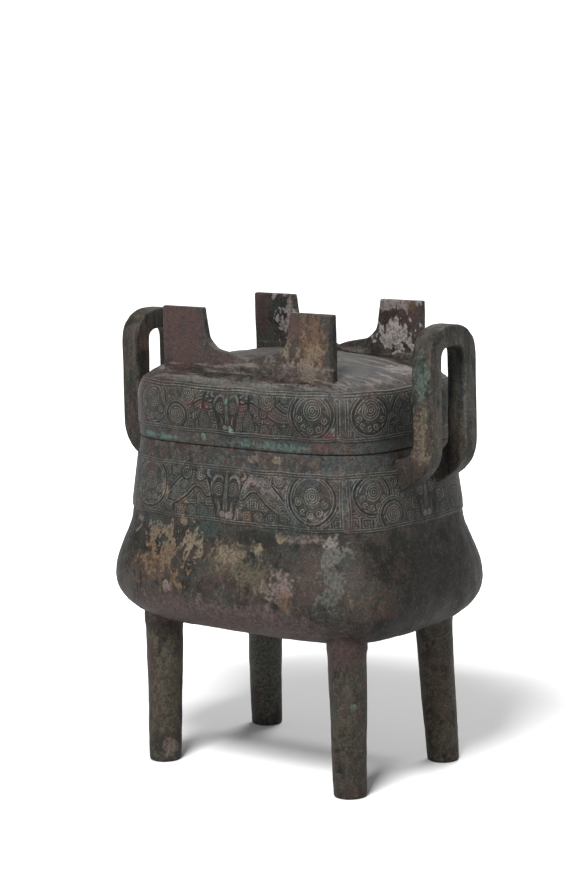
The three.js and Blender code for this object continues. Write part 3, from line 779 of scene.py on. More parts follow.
def bowl_shell(skin, size):
    """The bowl: underside, belly, fine wall with its band, rim, lip and the room inside."""
    bowl, relief = size.bowl, size.relief
    steps = [relief.seen_step if i in SEEN_SIDES else relief.plain_step for i in range(len(SIDES))]
    middle = relief.bowl_band_bottom + relief.bowl_band_height / 2
    columns = Columns(bowl, float(bowl_half_length(bowl, np.array(middle))), steps)
    coarse = even_turns(BELLY_SIDES)

    lower = []
    for share in (0.35, 0.7):
        z = bowl.underside_height - bowl.underside_sag * (1 - share**2)
        lower.append(ring_points(bowl, z, bowl.underside_half_length, coarse, share=share))
    for turn in np.linspace(0, np.pi / 2, 15)[:-1]:
        z = bowl.belly_height - bowl.belly_rise * math.cos(turn)
        half_length = bowl.belly_half_length - bowl.belly_turn * (1 - math.sin(turn))
        lower.append(ring_points(bowl, z, half_length, coarse))
    for z in np.arange(bowl.belly_height, relief.bowl_band_bottom - 2.5, 2.6):
        lower.append(ring_points(bowl, z, float(bowl_half_length(bowl, np.array(z))), coarse))
    rings = np.stack(lower)
    dents = unevenness(rings, 3, 30) * 0.5 + unevenness(rings, 4, 9) * 0.25 + 0.05
    dents = dents * np.clip((relief.bowl_band_bottom - rings[..., 2]) / 8, 0, 1)
    rings = rings - grid_normals(rings) * dents[:, :, None]
    indices = [skin.add_points(ring) for ring in rings]
    for low, high in zip(indices, indices[1:]):
        skin.quads(low, high)
    skin.fan(indices[0], (0, 0, bowl.underside_height - bowl.underside_sag), upwards=False)

    rows = np.concatenate([
        rows_between(relief.bowl_band_bottom - 1.5, relief.bowl_band_bottom, 0.7)[:-1],
        rows_between(relief.bowl_band_bottom, relief.bowl_band_top, relief.seen_step)[:-1],
        rows_between(relief.bowl_band_top, bowl.rim_height - 0.5, 0.9),
    ])
    up = rows - relief.bowl_band_bottom
    heights, lines = ornament_heights(relief, columns, up, relief.bowl_band_height, bowl_panel)
    strip = (rows > relief.bowl_band_top)[:, None]
    places = np.stack(np.meshgrid(columns.along, rows), axis=2)
    grain = np.stack([places[..., 0] * 0.12, places[..., 1], places[..., 0] * 0], axis=2)
    heights = heights - strip * 0.3 * unevenness(grain, 8, 2.2)
    walls = fine_wall(skin, bowl, columns, rows, bowl_half_length(bowl, rows), heights, lines)
    skin.zip(indices[-1], walls[0], coarse, columns.turn)

    hollow = even_turns(HOLLOW_SIDES)
    inner = [
        ring_points(bowl, bowl.rim_height, bowl.rim_half_length, hollow, inset=0.5),
        ring_points(bowl, bowl.rim_height, bowl.rim_half_length, hollow, inset=bowl.lip_outer_inset),
    ]
    lip_top = bowl.rim_height + bowl.lip_height
    for inset, z in ((bowl.lip_outer_inset, lip_top - 0.5), (bowl.lip_outer_inset + 0.5, lip_top),
                     (bowl.lip_inner_inset - 0.5, lip_top), (bowl.lip_inner_inset, lip_top - 0.5),
                     (bowl.lip_inner_inset, bowl.rim_height - bowl.lip_wall)):
        inner.append(ring_points(bowl, z, bowl.rim_half_length, hollow, inset=inset))
    for z in np.linspace(bowl.rim_height - bowl.lip_root, bowl.belly_height, 14):
        half_length = float(bowl_half_length(bowl, np.array(z)))
        inner.append(ring_points(bowl, z, half_length, hollow, inset=bowl.wall))
    inner_floor = bowl.underside_height + bowl.floor
    for turn in np.linspace(np.pi / 2, 0, 9)[1:]:
        z = bowl.belly_height - (bowl.belly_height - inner_floor) * math.cos(turn)
        half_length = bowl.belly_half_length - bowl.belly_turn * (1 - math.sin(turn))
        inner.append(ring_points(bowl, z, half_length, hollow, inset=bowl.wall))
    inner.append(ring_points(bowl, inner_floor - bowl.underside_sag * 0.6,
                             bowl.underside_half_length, hollow, inset=bowl.wall, share=0.55))
    inner_rings = [skin.add_points(ring) for ring in inner]
    skin.zip(walls[-1], inner_rings[0], columns.turn, hollow)
    for low, high in zip(inner_rings, inner_rings[1:]):
        skin.quads(low, high)
    skin.fan(inner_rings[-1], (0, 0, inner_floor - bowl.underside_sag), upwards=True)


LEG_SIDES = 48


def leg(skin, size, sign_x, sign_y):
    """One tapering round leg, which widens softly where it runs into the bowl."""
    bowl, legs = size.bowl, size.legs
    top_x = bowl.belly_half_length - legs.inset_x
    top_y = bowl.belly_half_length - bowl.length_over_width - legs.inset_y
    top = np.array([sign_x * top_x + legs.shift, sign_y * top_y])
    foot = top + legs.splay * np.array([sign_x, sign_y])
    if sign_x > 0 and sign_y > 0:
        top = top + legs.stray_top
        foot = foot + legs.stray_foot
    sunk = bowl.underside_height + legs.flare_height + bowl.floor
    rounding = legs.foot_rounding
    stations = [(rounding * (1 - math.cos(a)), legs.foot_radius - rounding * (1 - math.sin(a)))
                for a in np.linspace(0, np.pi / 2, 5)]
    for z in np.concatenate([np.linspace(5, 72, 16), np.linspace(74.5, sunk, 9)]):
        radius = legs.foot_radius + (legs.top_radius - legs.foot_radius) * z / bowl.underside_height
        rise = (z - bowl.underside_height + legs.flare_height) / legs.flare_height
        stations.append((z, radius + legs.flare * 0.4 * np.clip(rise, 0, 1) ** 2))
    angle = np.arange(LEG_SIDES) / LEG_SIDES * 2 * np.pi
    rings = []
    for z, radius in stations:
        centre = foot + (top - foot) * z / bowl.underside_height
        rings.append(np.stack([centre[0] + radius * np.cos(angle), centre[1] + radius * np.sin(angle),
                               np.full(LEG_SIDES, z)], axis=1))
    rings = np.stack(rings)
    seed = 20 + int(sign_x + 2 * sign_y)
    axis = rings.mean(axis=1, keepdims=True)
    outward = (rings - axis) / np.linalg.norm(rings - axis, axis=2, keepdims=True)
    dents = 0.45 * unevenness(rings, seed, 26) + 0.2 * unevenness(rings, seed + 10, 7)
    skin.loft(rings - outward * dents[:, :, None])


def handle_stations(size):
    """Centre line and thickness of the right-hand handle, from its front root to its rear root."""
    bowl, handles = size.bowl, size.handles
    x = bowl.rim_half_length + handles.stand_off + handles.thickness / 2
    bar_y = (handles.width - handles.bar_width) / 2
    crown_base = bowl.rim_height + handles.rise - handles.thickness / 2 - handles.crown
    root = bowl.rim_height - handles.root_drop
    low = np.array([x - handles.bend_run, root + handles.root_rise * 0.7])
    elbow = np.array([x, root + handles.root_rise * 1.4])
    high = np.array([x, bowl.rim_height + handles.bend_rise])
    upright = [(bowl.rim_half_length - handles.root_sunk, root, handles.root_thickness)]
    for t in np.linspace(0, 1, 15):
        at = low * (1 - t) ** 2 + elbow * 2 * t * (1 - t) + high * t**2
        thickness = handles.root_thickness * 0.75
        thickness += (handles.thickness - thickness) * math.sqrt(t)
        upright.append((at[0], at[1], thickness))
    for z in np.linspace(high[1], crown_base, 12)[1:]:
        upright.append((x, z, handles.thickness))
    front = [((px, -bar_y, pz), t) for px, pz, t in upright]
    rear = [((px, bar_y, pz), t) for px, pz, t in reversed(upright)]
    arch = []
    for angle in np.linspace(np.pi, 0, 26)[1:-1]:
        y = bar_y * signed_power(math.cos(angle), 2 / handles.crown_power)
        z = crown_base + handles.crown * math.sin(angle) ** (2 / handles.crown_power)
        arch.append(((x, float(y), z), handles.thickness))
    return front + arch + rear


def rounded_section(half_a, half_b, rounding, corner_steps=4):
    """A rectangle with rounded corners, anticlockwise."""
    points = []
    for corner, (sign_a, sign_b) in enumerate(((1, 1), (-1, 1), (-1, -1), (1, -1))):
        for step in range(corner_steps + 1):
            turn = (corner + step / corner_steps) * math.pi / 2
            points.append((sign_a * (half_a - rounding) + rounding * math.cos(turn),
                           sign_b * (half_b - rounding) + rounding * math.sin(turn)))
    return points


def handle(skin, size, sign):
    """A bar of rounded rectangular section bent into an upright handle."""
    handles = size.handles
    stations = handle_stations(size)
    centres = np.array([at for at, _ in stations])
    across = np.array([1.0, 0.0, 0.0])
    rings = []
    for i, (at, thickness) in enumerate(stations):
        before, after = centres[max(0, i - 1)], centres[min(len(stations) - 1, i + 1)]
        along = (after - before) / np.linalg.norm(after - before)
        out = across - along * (across @ along)
        out /= np.linalg.norm(out)
        wide = np.cross(along, out)
        section = rounded_section(thickness / 2, handles.bar_width / 2, handles.edge)
        rings.append([np.array(at) + out * u + wide * v for u, v in section])
    rings = np.array(rings)
    inward = centres[:, None, :] - rings
    inward /= np.linalg.norm(inward, axis=2, keepdims=True)
    grain = rings * np.array([1.0, 1.0, 0.16])
    dents = 0.3 * unevenness(rings, 41, 22) + 0.28 * unevenness(grain, 42, 2.4)
    rings = rings + inward * dents[:, :, None]
    if sign < 0:
        rings = rings * np.array([-1.0, -1.0, 1.0])
    skin.loft(list(rings))


# The lid with its flanges


GROOVE_DROP = 4.4
GROOVE_WIDTH = 1.1
RIDGE_DROP = 2.4
RIDGE_WIDTH = 0.8


def line_at(z, height, width):
    """1 at a height, falling softly to nothing on both sides of it."""
    return np.exp(-(((z - height) / width) ** 2))


def lid_shell(skin, size):
    """The lid: rim, fine wall with its band, shoulder, crowned top and the hollow below."""
    bowl, lid, relief, flanges = size.bowl, size.lid, size.relief, size.flanges
    steps = [relief.seen_step if i in SEEN_SIDES else relief.plain_step for i in range(len(SIDES))]
    columns = Columns(bowl, lid.rim_half_length - 1, steps)

    rim_rows = rows_between(lid.rim_height + 0.6, relief.lid_band_bottom, 1.0)
    arc = np.arcsin((relief.lid_band_top - lid.shoulder_base) / lid.shoulder_rise)
    straight = rows_between(relief.lid_band_bottom, lid.shoulder_base, relief.seen_step)
    bend_count = int(lid.shoulder_rise * arc / relief.seen_step)
    bend = lid.shoulder_base + lid.shoulder_rise * np.sin(np.linspace(0, arc, bend_count))
    over = lid.shoulder_base + lid.shoulder_rise * np.sin(np.linspace(arc, np.pi / 2, 26))
    rows = np.concatenate([rim_rows[:-1], straight[:-1], bend[:-1], over])
    half_lengths = lid_half_length(lid, rows)
    up = rows - relief.lid_band_bottom
    heights, lines = ornament_heights(relief, columns, up, relief.lid_band_height, lid_panel)
    x, y = outline(bowl, half_lengths[:, None], columns.direction[None, :])
    z = np.broadcast_to(rows[:, None], x.shape)
    face = lid.rim_half_length - bowl.length_over_width - lid.shoulder_run - flanges.side_inset
    beside = inside(np.abs(x - flanges.shift) - lid.rim_half_length + flanges.end_inset + 2, 6)
    beside = beside * inside(face * 0.8 - np.abs(y))
    groove = line_at(z, lid.shoulder_top - GROOVE_DROP, GROOVE_WIDTH)
    ridge = line_at(z, lid.shoulder_top - RIDGE_DROP, RIDGE_WIDTH)
    heights = heights + beside * (0.5 * ridge - 0.9 * groove)
    above = (rows > relief.lid_band_top)[:, None]
    points = np.stack([x, y, z], axis=2)
    heights = heights - above * 0.35 * unevenness(points, 11, 9)
    walls = fine_wall(skin, bowl, columns, rows, half_lengths, heights, lines)

    coarse = even_turns(BELLY_SIDES)
    top = []
    for share in (0.985, 0.93, 0.85, 0.75, 0.62, 0.48, 0.33, 0.17):
        height = lid.shoulder_top + lid.crown * (1 - share**2)
        half_length = float(half_lengths[-1])
        top.append(ring_points(bowl, height, half_length, coarse, share=share))
    top = np.stack(top)
    top[:, :, 2] -= 0.6 * unevenness(top, 12, 17)
    top_rings = [skin.add_points(ring) for ring in top]
    skin.zip(walls[-1], top_rings[0], columns.turn, coarse)
    for low, high in zip(top_rings, top_rings[1:]):
        skin.quads(low, high)
    skin.fan(top_rings[-1], (0, 0, lid.crown_height - 0.3), upwards=True)

    hollow = even_turns(HOLLOW_SIDES)
    under = [
        ring_points(bowl, lid.rim_height, lid.rim_half_length, hollow, inset=0.6),
        ring_points(bowl, lid.rim_height, lid.rim_half_length, hollow, inset=lid.wall - 0.5),
        ring_points(bowl, lid.rim_height + 0.5, lid.rim_half_length, hollow, inset=lid.wall),
        ring_points(bowl, lid.shoulder_base, lid.rim_half_length, hollow, inset=lid.wall),
    ]
    for turn in np.linspace(0, np.pi / 2, 10)[1:]:
        rise = math.sin(turn)
        height = lid.shoulder_base + lid.shoulder_rise * rise
        half_length = float(lid_half_length(lid, np.array(height)))
        under.append(ring_points(bowl, height - lid.wall * rise, half_length, hollow,
                                 inset=lid.wall * (1 - rise / 2)))
    for share in (0.75, 0.5, 0.25):
        height = lid.shoulder_top - lid.wall + lid.crown * (1 - share**2)
        under.append(ring_points(bowl, height, float(half_lengths[-1]), hollow,
                                 inset=lid.wall / 2, share=share))
    under_rings = [skin.add_points(ring) for ring in under]
    skin.zip(under_rings[0], walls[0], hollow, columns.turn)
    for low, high in zip(under_rings, under_rings[1:]):
        skin.quads(high, low)
    skin.fan(under_rings[-1], (0, 0, lid.crown_height - lid.wall), upwards=False)


def flange_top(size):
    """The top line of a flange in X and Z about its own middle, from its right end to its left."""
    lid, flanges = size.lid, size.flanges
    end = lid.rim_half_length - flanges.end_inset
    step = lid.crown_height + flanges.step_rise
    top = step + flanges.post_rise
    inner = end - flanges.post_width
    knots = np.array([
        (inner, top), (inner - 0.10 * flanges.post_flare, top - 0.29 * flanges.post_rise),
        (inner - 0.26 * flanges.post_flare, top - 0.66 * flanges.post_rise),
        (inner - 0.42 * flanges.post_flare, top - 0.78 * flanges.post_rise),
        (inner - 0.72 * flanges.post_flare, top - 0.9 * flanges.post_rise),
        (inner - flanges.post_flare, step + 0.8), (0.5 * inner, step - 0.3),
        (0.22 * inner, step - 0.45 * flanges.notch_depth), (0, step - flanges.notch_depth),
    ])
    t = np.linspace(0, len(knots) - 1, 40)
    curve = np.stack([catmull(knots[:, 0], t), catmull(knots[:, 1], t)], axis=1)
    rounding = 0.7
    flat = np.linspace(end - rounding, inner + rounding, 12)
    post = [(end, top - rounding), *((x, top) for x in flat), (inner + 0.2, top - 0.2)]
    right = np.array(post + curve[1:].tolist())
    return np.concatenate([right, right[::-1][1:] * np.array([-1, 1])])


FLANGE_ROWS = 20


def flange(skin, size, sign):
    """A flange: its outline carried across its thickness, with rounded edges and uneven faces."""
    bowl, lid, flanges = size.bowl, size.lid, size.flanges
    face = lid.rim_half_length - bowl.length_over_width - lid.shoulder_run - flanges.side_inset
    top = flange_top(size)
    foot = np.stack([top[:, 0], np.full(len(top), lid.shoulder_top - flanges.foot)], axis=1)
    share = np.linspace(0, 1, FLANGE_ROWS)[:, None, None]
    grid = foot * (1 - share) + top * share
    last_row, last_column = FLANGE_ROWS - 1, len(top) - 1
    border = ([(row, 0) for row in range(last_row)] + [(last_row, c) for c in range(last_column)]
              + [(row, last_column) for row in range(last_row, 0, -1)]
              + [(0, c) for c in range(last_column, 0, -1)])
    rows, columns = np.array(border).T
    rim = grid[rows, columns]
    along = np.roll(rim, -1, axis=0) - np.roll(rim, 1, axis=0)
    along /= np.linalg.norm(along, axis=1, keepdims=True)
    inward = np.stack([-along[:, 1], along[:, 0]], axis=1)
    radius = flanges.edge
    flat = grid.copy()
    flat[rows, columns] = rim + inward * radius
    flat[1:-1, 1:-1] = flat[:1, 1:-1] * (1 - share[1:-1]) + flat[-1:, 1:-1] * share[1:-1]

    def placed(points, depth, far):
        """Points of the outline at one depth behind the outer face. Both faces have shallow dents."""
        x, z = points[..., 0] + flanges.shift, points[..., 1]
        at = np.stack([x, np.full(x.shape, sign * 50.0), z], axis=-1)
        seed = (66 if far else 61) + 10 * sign
        dent = 0.5 * unevenness(at, seed, 24) + 0.15 * unevenness(at, seed + 1, 6)
        from_face = flanges.thickness - depth if far else depth
        dent = dent * (from_face < radius + 0.01)
        return np.stack([x, sign * (face - depth + (dent if far else -dent)), z], axis=-1)

    def joined(first, second):
        skin.quads(*((first, second) if sign > 0 else (second, first)))

    turns = np.linspace(0, np.pi / 2, 4)
    bevel = [(radius * (1 - math.sin(a)), radius * (1 - math.cos(a))) for a in turns]
    sheets = []
    for far in (False, True):
        depth = flanges.thickness if far else 0.0
        sheet = skin.add_points(placed(flat, depth, far)).reshape(flat.shape[:2])
        sheets.append(sheet)
        cells = np.stack([sheet[:-1, :-1], sheet[1:, :-1], sheet[1:, 1:], sheet[:-1, 1:]], axis=2)
        cells = cells.reshape(-1, 4)
        skin.faces.extend((cells if (sign > 0) == far else cells[:, ::-1]).tolist())
    rings = [sheets[0][rows, columns]]
    for depth, inset in bevel[-2::-1]:
        rings.append(skin.add_points(placed(rim + inward * inset, depth, False)))
    for depth, inset in bevel[:-1]:
        rings.append(skin.add_points(placed(rim + inward * inset, flanges.thickness - depth, True)))
    rings.append(sheets[1][rows, columns])
    for first, second in zip(rings, rings[1:]):
        joined(first, second)


# Patina


BUMP_DISTANCE = 0.0006
SPECULAR_LEVEL = 0.13


class Value:
    """A shader socket that arithmetic can be done on. Each operator adds its Math node."""

    def __init__(self, graph, socket):
        self.graph = graph
        self.socket = socket

    def __add__(self, other):
        return self.graph.maths("ADD", self, other)

    def __sub__(self, other):
        return self.graph.maths("SUBTRACT", self, other)

    def __rsub__(self, other):
        return self.graph.maths("SUBTRACT", other, self)

    def __mul__(self, other):
        return self.graph.maths("MULTIPLY", self, other)

    __radd__ = __add__
    __rmul__ = __mul__


class Graph:
    """The nodes of one material."""

    def __init__(self, name):
        self.material = bpy.data.materials.new(name)
        self.material.use_nodes = True
        self.tree = self.material.node_tree
        self.tree.nodes.clear()
        self.place = self.node("ShaderNodeTexCoord", output="Object")
        self.lines = self.node("ShaderNodeAttribute", {"attribute_name": "relief"}, output="Fac")

    def node(self, kind, settings=None, inputs=None, output=0):
        """Adds a node, sets it, joins or sets its inputs, and gives one of its outputs."""
        node = self.tree.nodes.new(kind)
        for key, value in (settings or {}).items():
            setattr(node, key, value)
        for key, value in (inputs or {}).items():
            if isinstance(value, Value):
                self.tree.links.new(value.socket, node.inputs[key])
            else:
                node.inputs[key].default_value = value
        return Value(self, node.outputs[output]) if node.outputs else None

    def maths(self, operation, *values):
        return self.node("ShaderNodeMath", {"operation": operation}, dict(enumerate(values)))

    def vector_maths(self, operation, *values, output=0):
        return self.node("ShaderNodeVectorMath", {"operation": operation},
                         dict(enumerate(values)), output)

    def mix(self, factor, first, second, blend="MIX"):
        """A colour mix. Colours are tuples of three, or links."""
        first, second = [c if isinstance(c, Value) else (*c, 1) for c in (first, second)]
        return self.node("ShaderNodeMix", {"data_type": "RGBA", "blend_type": blend},
                         {0: factor, 6: first, 7: second}, output=2)

    def noise(self, scale, detail=4, roughness=0.55, distortion=0.0, where=None):
        """Noise from about 0.2 to 0.8. The scale is in features to the metre."""
        return self.node("ShaderNodeTexNoise", {}, {
            "Vector": where or self.place, "Scale": scale, "Detail": detail,
            "Roughness": roughness, "Distortion": distortion,
        })

    def step(self, value, low, high):
        """0 below low and 1 above high, smoothly between. With low above high it is turned round."""
        return self.node("ShaderNodeMapRange", {"interpolation_type": "SMOOTHSTEP"}, {
            "Value": value, "From Min": low, "From Max": high,
        })

    def drift(self, base, stain, colours, ragged, lace, crisp):
        """Lays a stain over a colour: an ellipsoid with an edge that three noises break up."""
        offset = self.vector_maths("SUBTRACT", self.place, tuple(v * MM for v in stain.place))
        share = self.vector_maths("DIVIDE", offset, tuple(v * MM for v in stain.reach))
        away = self.vector_maths("LENGTH", share, output="Value")
        edge = 1 - away + (ragged * 0.6 + lace + crisp * 0.4 - 1) * stain.breakup
        speckle = self.step(crisp, 0.4, 0.58) * 0.6 + 0.4
        cover = self.step(edge, 0.0, stain.softness) * speckle * stain.strength
        return self.mix(cover, base, getattr(colours, stain.colour))

    def axis(self, name):
        """One coordinate of the place, in metres."""
        return self.node("ShaderNodeSeparateXYZ", {}, {0: self.place}, output=name)

    def stretched(self, x, y, z):
        """The place, with its noise drawn out along the axes that are given less than 1."""
        return self.vector_maths("MULTIPLY", self.place, (x, y, z))

    def finish(self, base, roughness, metallic, height, strength, glow=(0, 0, 0, 1), glow_strength=0.0):
        """The surface: its colour, roughness and metal, with a fine bump from a height."""
        bump = self.node("ShaderNodeBump", {}, {
            "Height": height, "Strength": strength, "Distance": BUMP_DISTANCE,
        })
        shader = self.node("ShaderNodeBsdfPrincipled", {}, {
            "Base Color": base, "Roughness": roughness, "Metallic": metallic, "Normal": bump,
            "Specular IOR Level": SPECULAR_LEVEL,
            "Emission Color": glow, "Emission Strength": glow_strength,
        })
        self.node("ShaderNodeOutputMaterial", {}, {"Surface": shader})
        return self.material


class StainOrPaintedLight(NamedTuple):
    """A coloured patch: growth, earth or a change of patina, and in a few places painted shade, a
    painted sheen, a painted highlight and a painted reflection. Where it lies and how far it reaches, in
    millimetres.
    """

    colour: str
    place: tuple
    reach: tuple
    strength: float = 0.75
    breakup: float = 1.5
    softness: float = 0.35


BOWL_STAINS_AND_PAINTED_LIGHT = (
    # Broad changes of patina, with painted shade on the right end and a painted reflection on the lower
    # belly
    StainOrPaintedLight("maroon", (5, -66, 92), (104, 70, 19), 0.9, 1.0, 0.6),
    # Painted shade over the right end's darker patina, as the end faces away from the key light (these
    # three).
    StainOrPaintedLight("dark_brown", (104, 2, 128), (28, 66, 46), 0.9, 1.2, 0.6),
    StainOrPaintedLight("black_green", (104, -8, 124), (28, 56, 50), 0.85, 1.2, 0.7),
    StainOrPaintedLight("black_green", (96, -8, 172), (22, 60, 26), 0.6, 1.2, 0.8),
    StainOrPaintedLight("black_green", (-58, -62, 136), (46, 24, 22), 0.95, 1.4, 0.4),
    StainOrPaintedLight("black_green", (86, -42, 126), (11, 16, 20), 0.7, 2.2, 0.5),
    StainOrPaintedLight("black_green", (24, -68, 145), (22, 8, 6), 0.85, 1.4, 0.4),
    StainOrPaintedLight("black_green", (-22, -70, 121), (9, 8, 14), 0.7, 2.2, 0.4),
    StainOrPaintedLight("blue_grey", (84, -42, 189), (24, 26, 5), 0.6, 0.9, 0.6),
    StainOrPaintedLight("black_green", (-1, -68, 172), (11, 12, 17), 0.8, 1.0, 0.6),
    StainOrPaintedLight("teal", (-52, -66, 147), (13, 10, 4.5), 0.8, 1.4),
    StainOrPaintedLight("teal", (-13, -67, 146), (10, 8, 5), 0.8, 1.2),
    StainOrPaintedLight("teal", (-42, -68, 138), (10, 8, 5), 0.7, 2.0),
    # Painted reflection: a pale pinkish wash lightens the lower belly's maroon-brown where the floor
    # shines on it.
    StainOrPaintedLight("pink", (0, -70, 96), (100, 40, 17), 0.45, 1.2, 0.6),
    # Earth on the belly, and grey bloom with a painted sheen on its front right corner
    StainOrPaintedLight("tan", (-50, -66, 143), (13, 12, 5), 0.8, 5.8, 0.2),
    StainOrPaintedLight("tan", (-38, -71, 133), (15, 12, 9), 0.8, 6.6, 0.2),
    StainOrPaintedLight("ochre", (-45, -70, 127), (18, 12, 13), 0.6, 5.4, 0.25),
    StainOrPaintedLight("tan", (-22, -72, 140), (7, 9, 7), 0.8, 4.6, 0.2),
    StainOrPaintedLight("olive", (6, -72, 132), (22, 10, 15), 0.9, 1.6, 0.8),
    StainOrPaintedLight("tan", (4, -72, 135), (13, 9, 9), 0.75, 2.2, 0.6),
    StainOrPaintedLight("tan", (24.5, -69, 139), (5.2, 5, 4), 0.95, 1.6, 0.4),
    StainOrPaintedLight("tan", (39.5, -66, 146.5), (4.6, 5, 3.6), 0.9, 1.6, 0.4),
    StainOrPaintedLight("olive", (26, -73, 124), (24, 10, 11), 0.8, 2.6, 0.7),
    StainOrPaintedLight("pink", (46, -74, 120), (14, 8, 11), 0.75, 2.8, 0.6),
    StainOrPaintedLight("ochre", (50, -75, 113), (9, 8, 7), 0.7, 2.0, 0.5),
    StainOrPaintedLight("pink", (-37, -75, 113), (3, 6, 4.5), 0.95, 1.4),
    # Grey bloom with a painted sheen on the belly's front right corner (this grey and the grey two lines
    # on).
    StainOrPaintedLight("grey", (72, -62, 140), (9, 12, 8), 0.8, 3.2, 0.6),
    StainOrPaintedLight("pale", (71, -60, 146), (7, 10, 4), 0.4, 2.6, 0.7),
    StainOrPaintedLight("grey", (75, -66, 124), (9, 12, 14), 0.7, 3.4, 0.6),
    StainOrPaintedLight("pink", (58, -62, 147), (16, 12, 3.5), 0.6, 2.6, 0.5),
    StainOrPaintedLight("pink", (-68, -56, 147), (5, 12, 3), 0.7, 2.4),
    StainOrPaintedLight("ochre", (88, -50, 112), (14, 12, 7), 0.5, 3.6, 0.5),
    StainOrPaintedLight("tan", (92, -46, 111), (4, 5, 3), 0.7, 2.4, 0.5),
    # Patches on the band
    StainOrPaintedLight("pink", (16, -62, 176), (7.5, 6, 4.5), 0.8, 1.8),
    StainOrPaintedLight("pink", (32, -62, 175), (12, 6, 6), 0.5, 2.6),
    StainOrPaintedLight("pink", (5.5, -66, 156.5), (6, 6, 4), 0.75, 1.8),
    StainOrPaintedLight("tan", (-46, -64, 166), (3.4, 6, 5.5), 0.85, 1.4),
    StainOrPaintedLight("ochre", (-31, -65, 157), (4.2, 7, 9), 0.75, 1.4),
    StainOrPaintedLight("teal", (-14, -65, 158), (10, 6, 6), 0.8, 1.0, 0.5),
    StainOrPaintedLight("ochre", (17, -65, 156), (9, 6, 6), 0.5, 1.6, 0.6),
    StainOrPaintedLight("maroon", (-60, -58, 178), (7, 10, 6), 0.7, 1.4),
    StainOrPaintedLight("pink", (63, -62, 158), (8, 9, 5), 0.5, 3.0),
    StainOrPaintedLight("tan", (34.5, -61, 189), (4, 5, 2.6), 0.85, 1.2),
    StainOrPaintedLight("tan", (20, -61, 189), (7, 5, 2), 0.5, 2.0),
    StainOrPaintedLight("tan", (-30, -66, 150), (3, 6, 4), 0.7, 1.4),
    # Legs
    StainOrPaintedLight("olive", (79, -54, 40), (14, 16, 44), 0.35, 4.0, 0.4),
    StainOrPaintedLight("olive", (-57, -53, 40), (14, 16, 44), 0.6, 3.6, 0.4),
    StainOrPaintedLight("olive", (77, 38, 40), (14, 16, 44), 0.6, 3.6, 0.4),
    StainOrPaintedLight("grey", (-62, 40, 44), (18, 22, 60), 0.9, 1.2, 0.5),
    StainOrPaintedLight("maroon", (79, -54, 84), (16, 16, 13), 0.7, 1.2, 0.6),
    StainOrPaintedLight("mint", (79.7, -54, 53.2), (2.3, 3, 2.3), 0.85, 0.5, 0.4),
    StainOrPaintedLight("pink", (-57, -53, 9), (4, 6, 7), 0.7, 1.8),
    StainOrPaintedLight("maroon", (-66, 38, 16), (4, 8, 11), 0.7, 1.6),
    # Handles
    StainOrPaintedLight("mint", (105, -23, 236), (8, 3, 17), 0.5, 2.2, 0.6),
    StainOrPaintedLight("tan", (105, -23, 203), (8, 3, 20), 0.65, 2.6, 0.5),
    StainOrPaintedLight("ochre", (112.8, -17, 213), (3, 4.5, 8), 0.8, 2.2),
    StainOrPaintedLight("ochre", (-102, -17, 242), (4, 5, 4.5), 0.85, 1.2),
    StainOrPaintedLight("teal", (-108.8, 10.4, 231), (4, 6, 6), 0.8, 1.2),
    StainOrPaintedLight("maroon", (-105, -18, 204), (9, 9, 22), 0.55, 1.6, 0.6),
    StainOrPaintedLight("grey", (113.5, 0, 222), (3.5, 30, 52), 0.8, 1.2, 0.6),
    StainOrPaintedLight("blue_grey", (107, 10, 225), (8, 4, 34), 0.5, 1.4, 0.6),
)

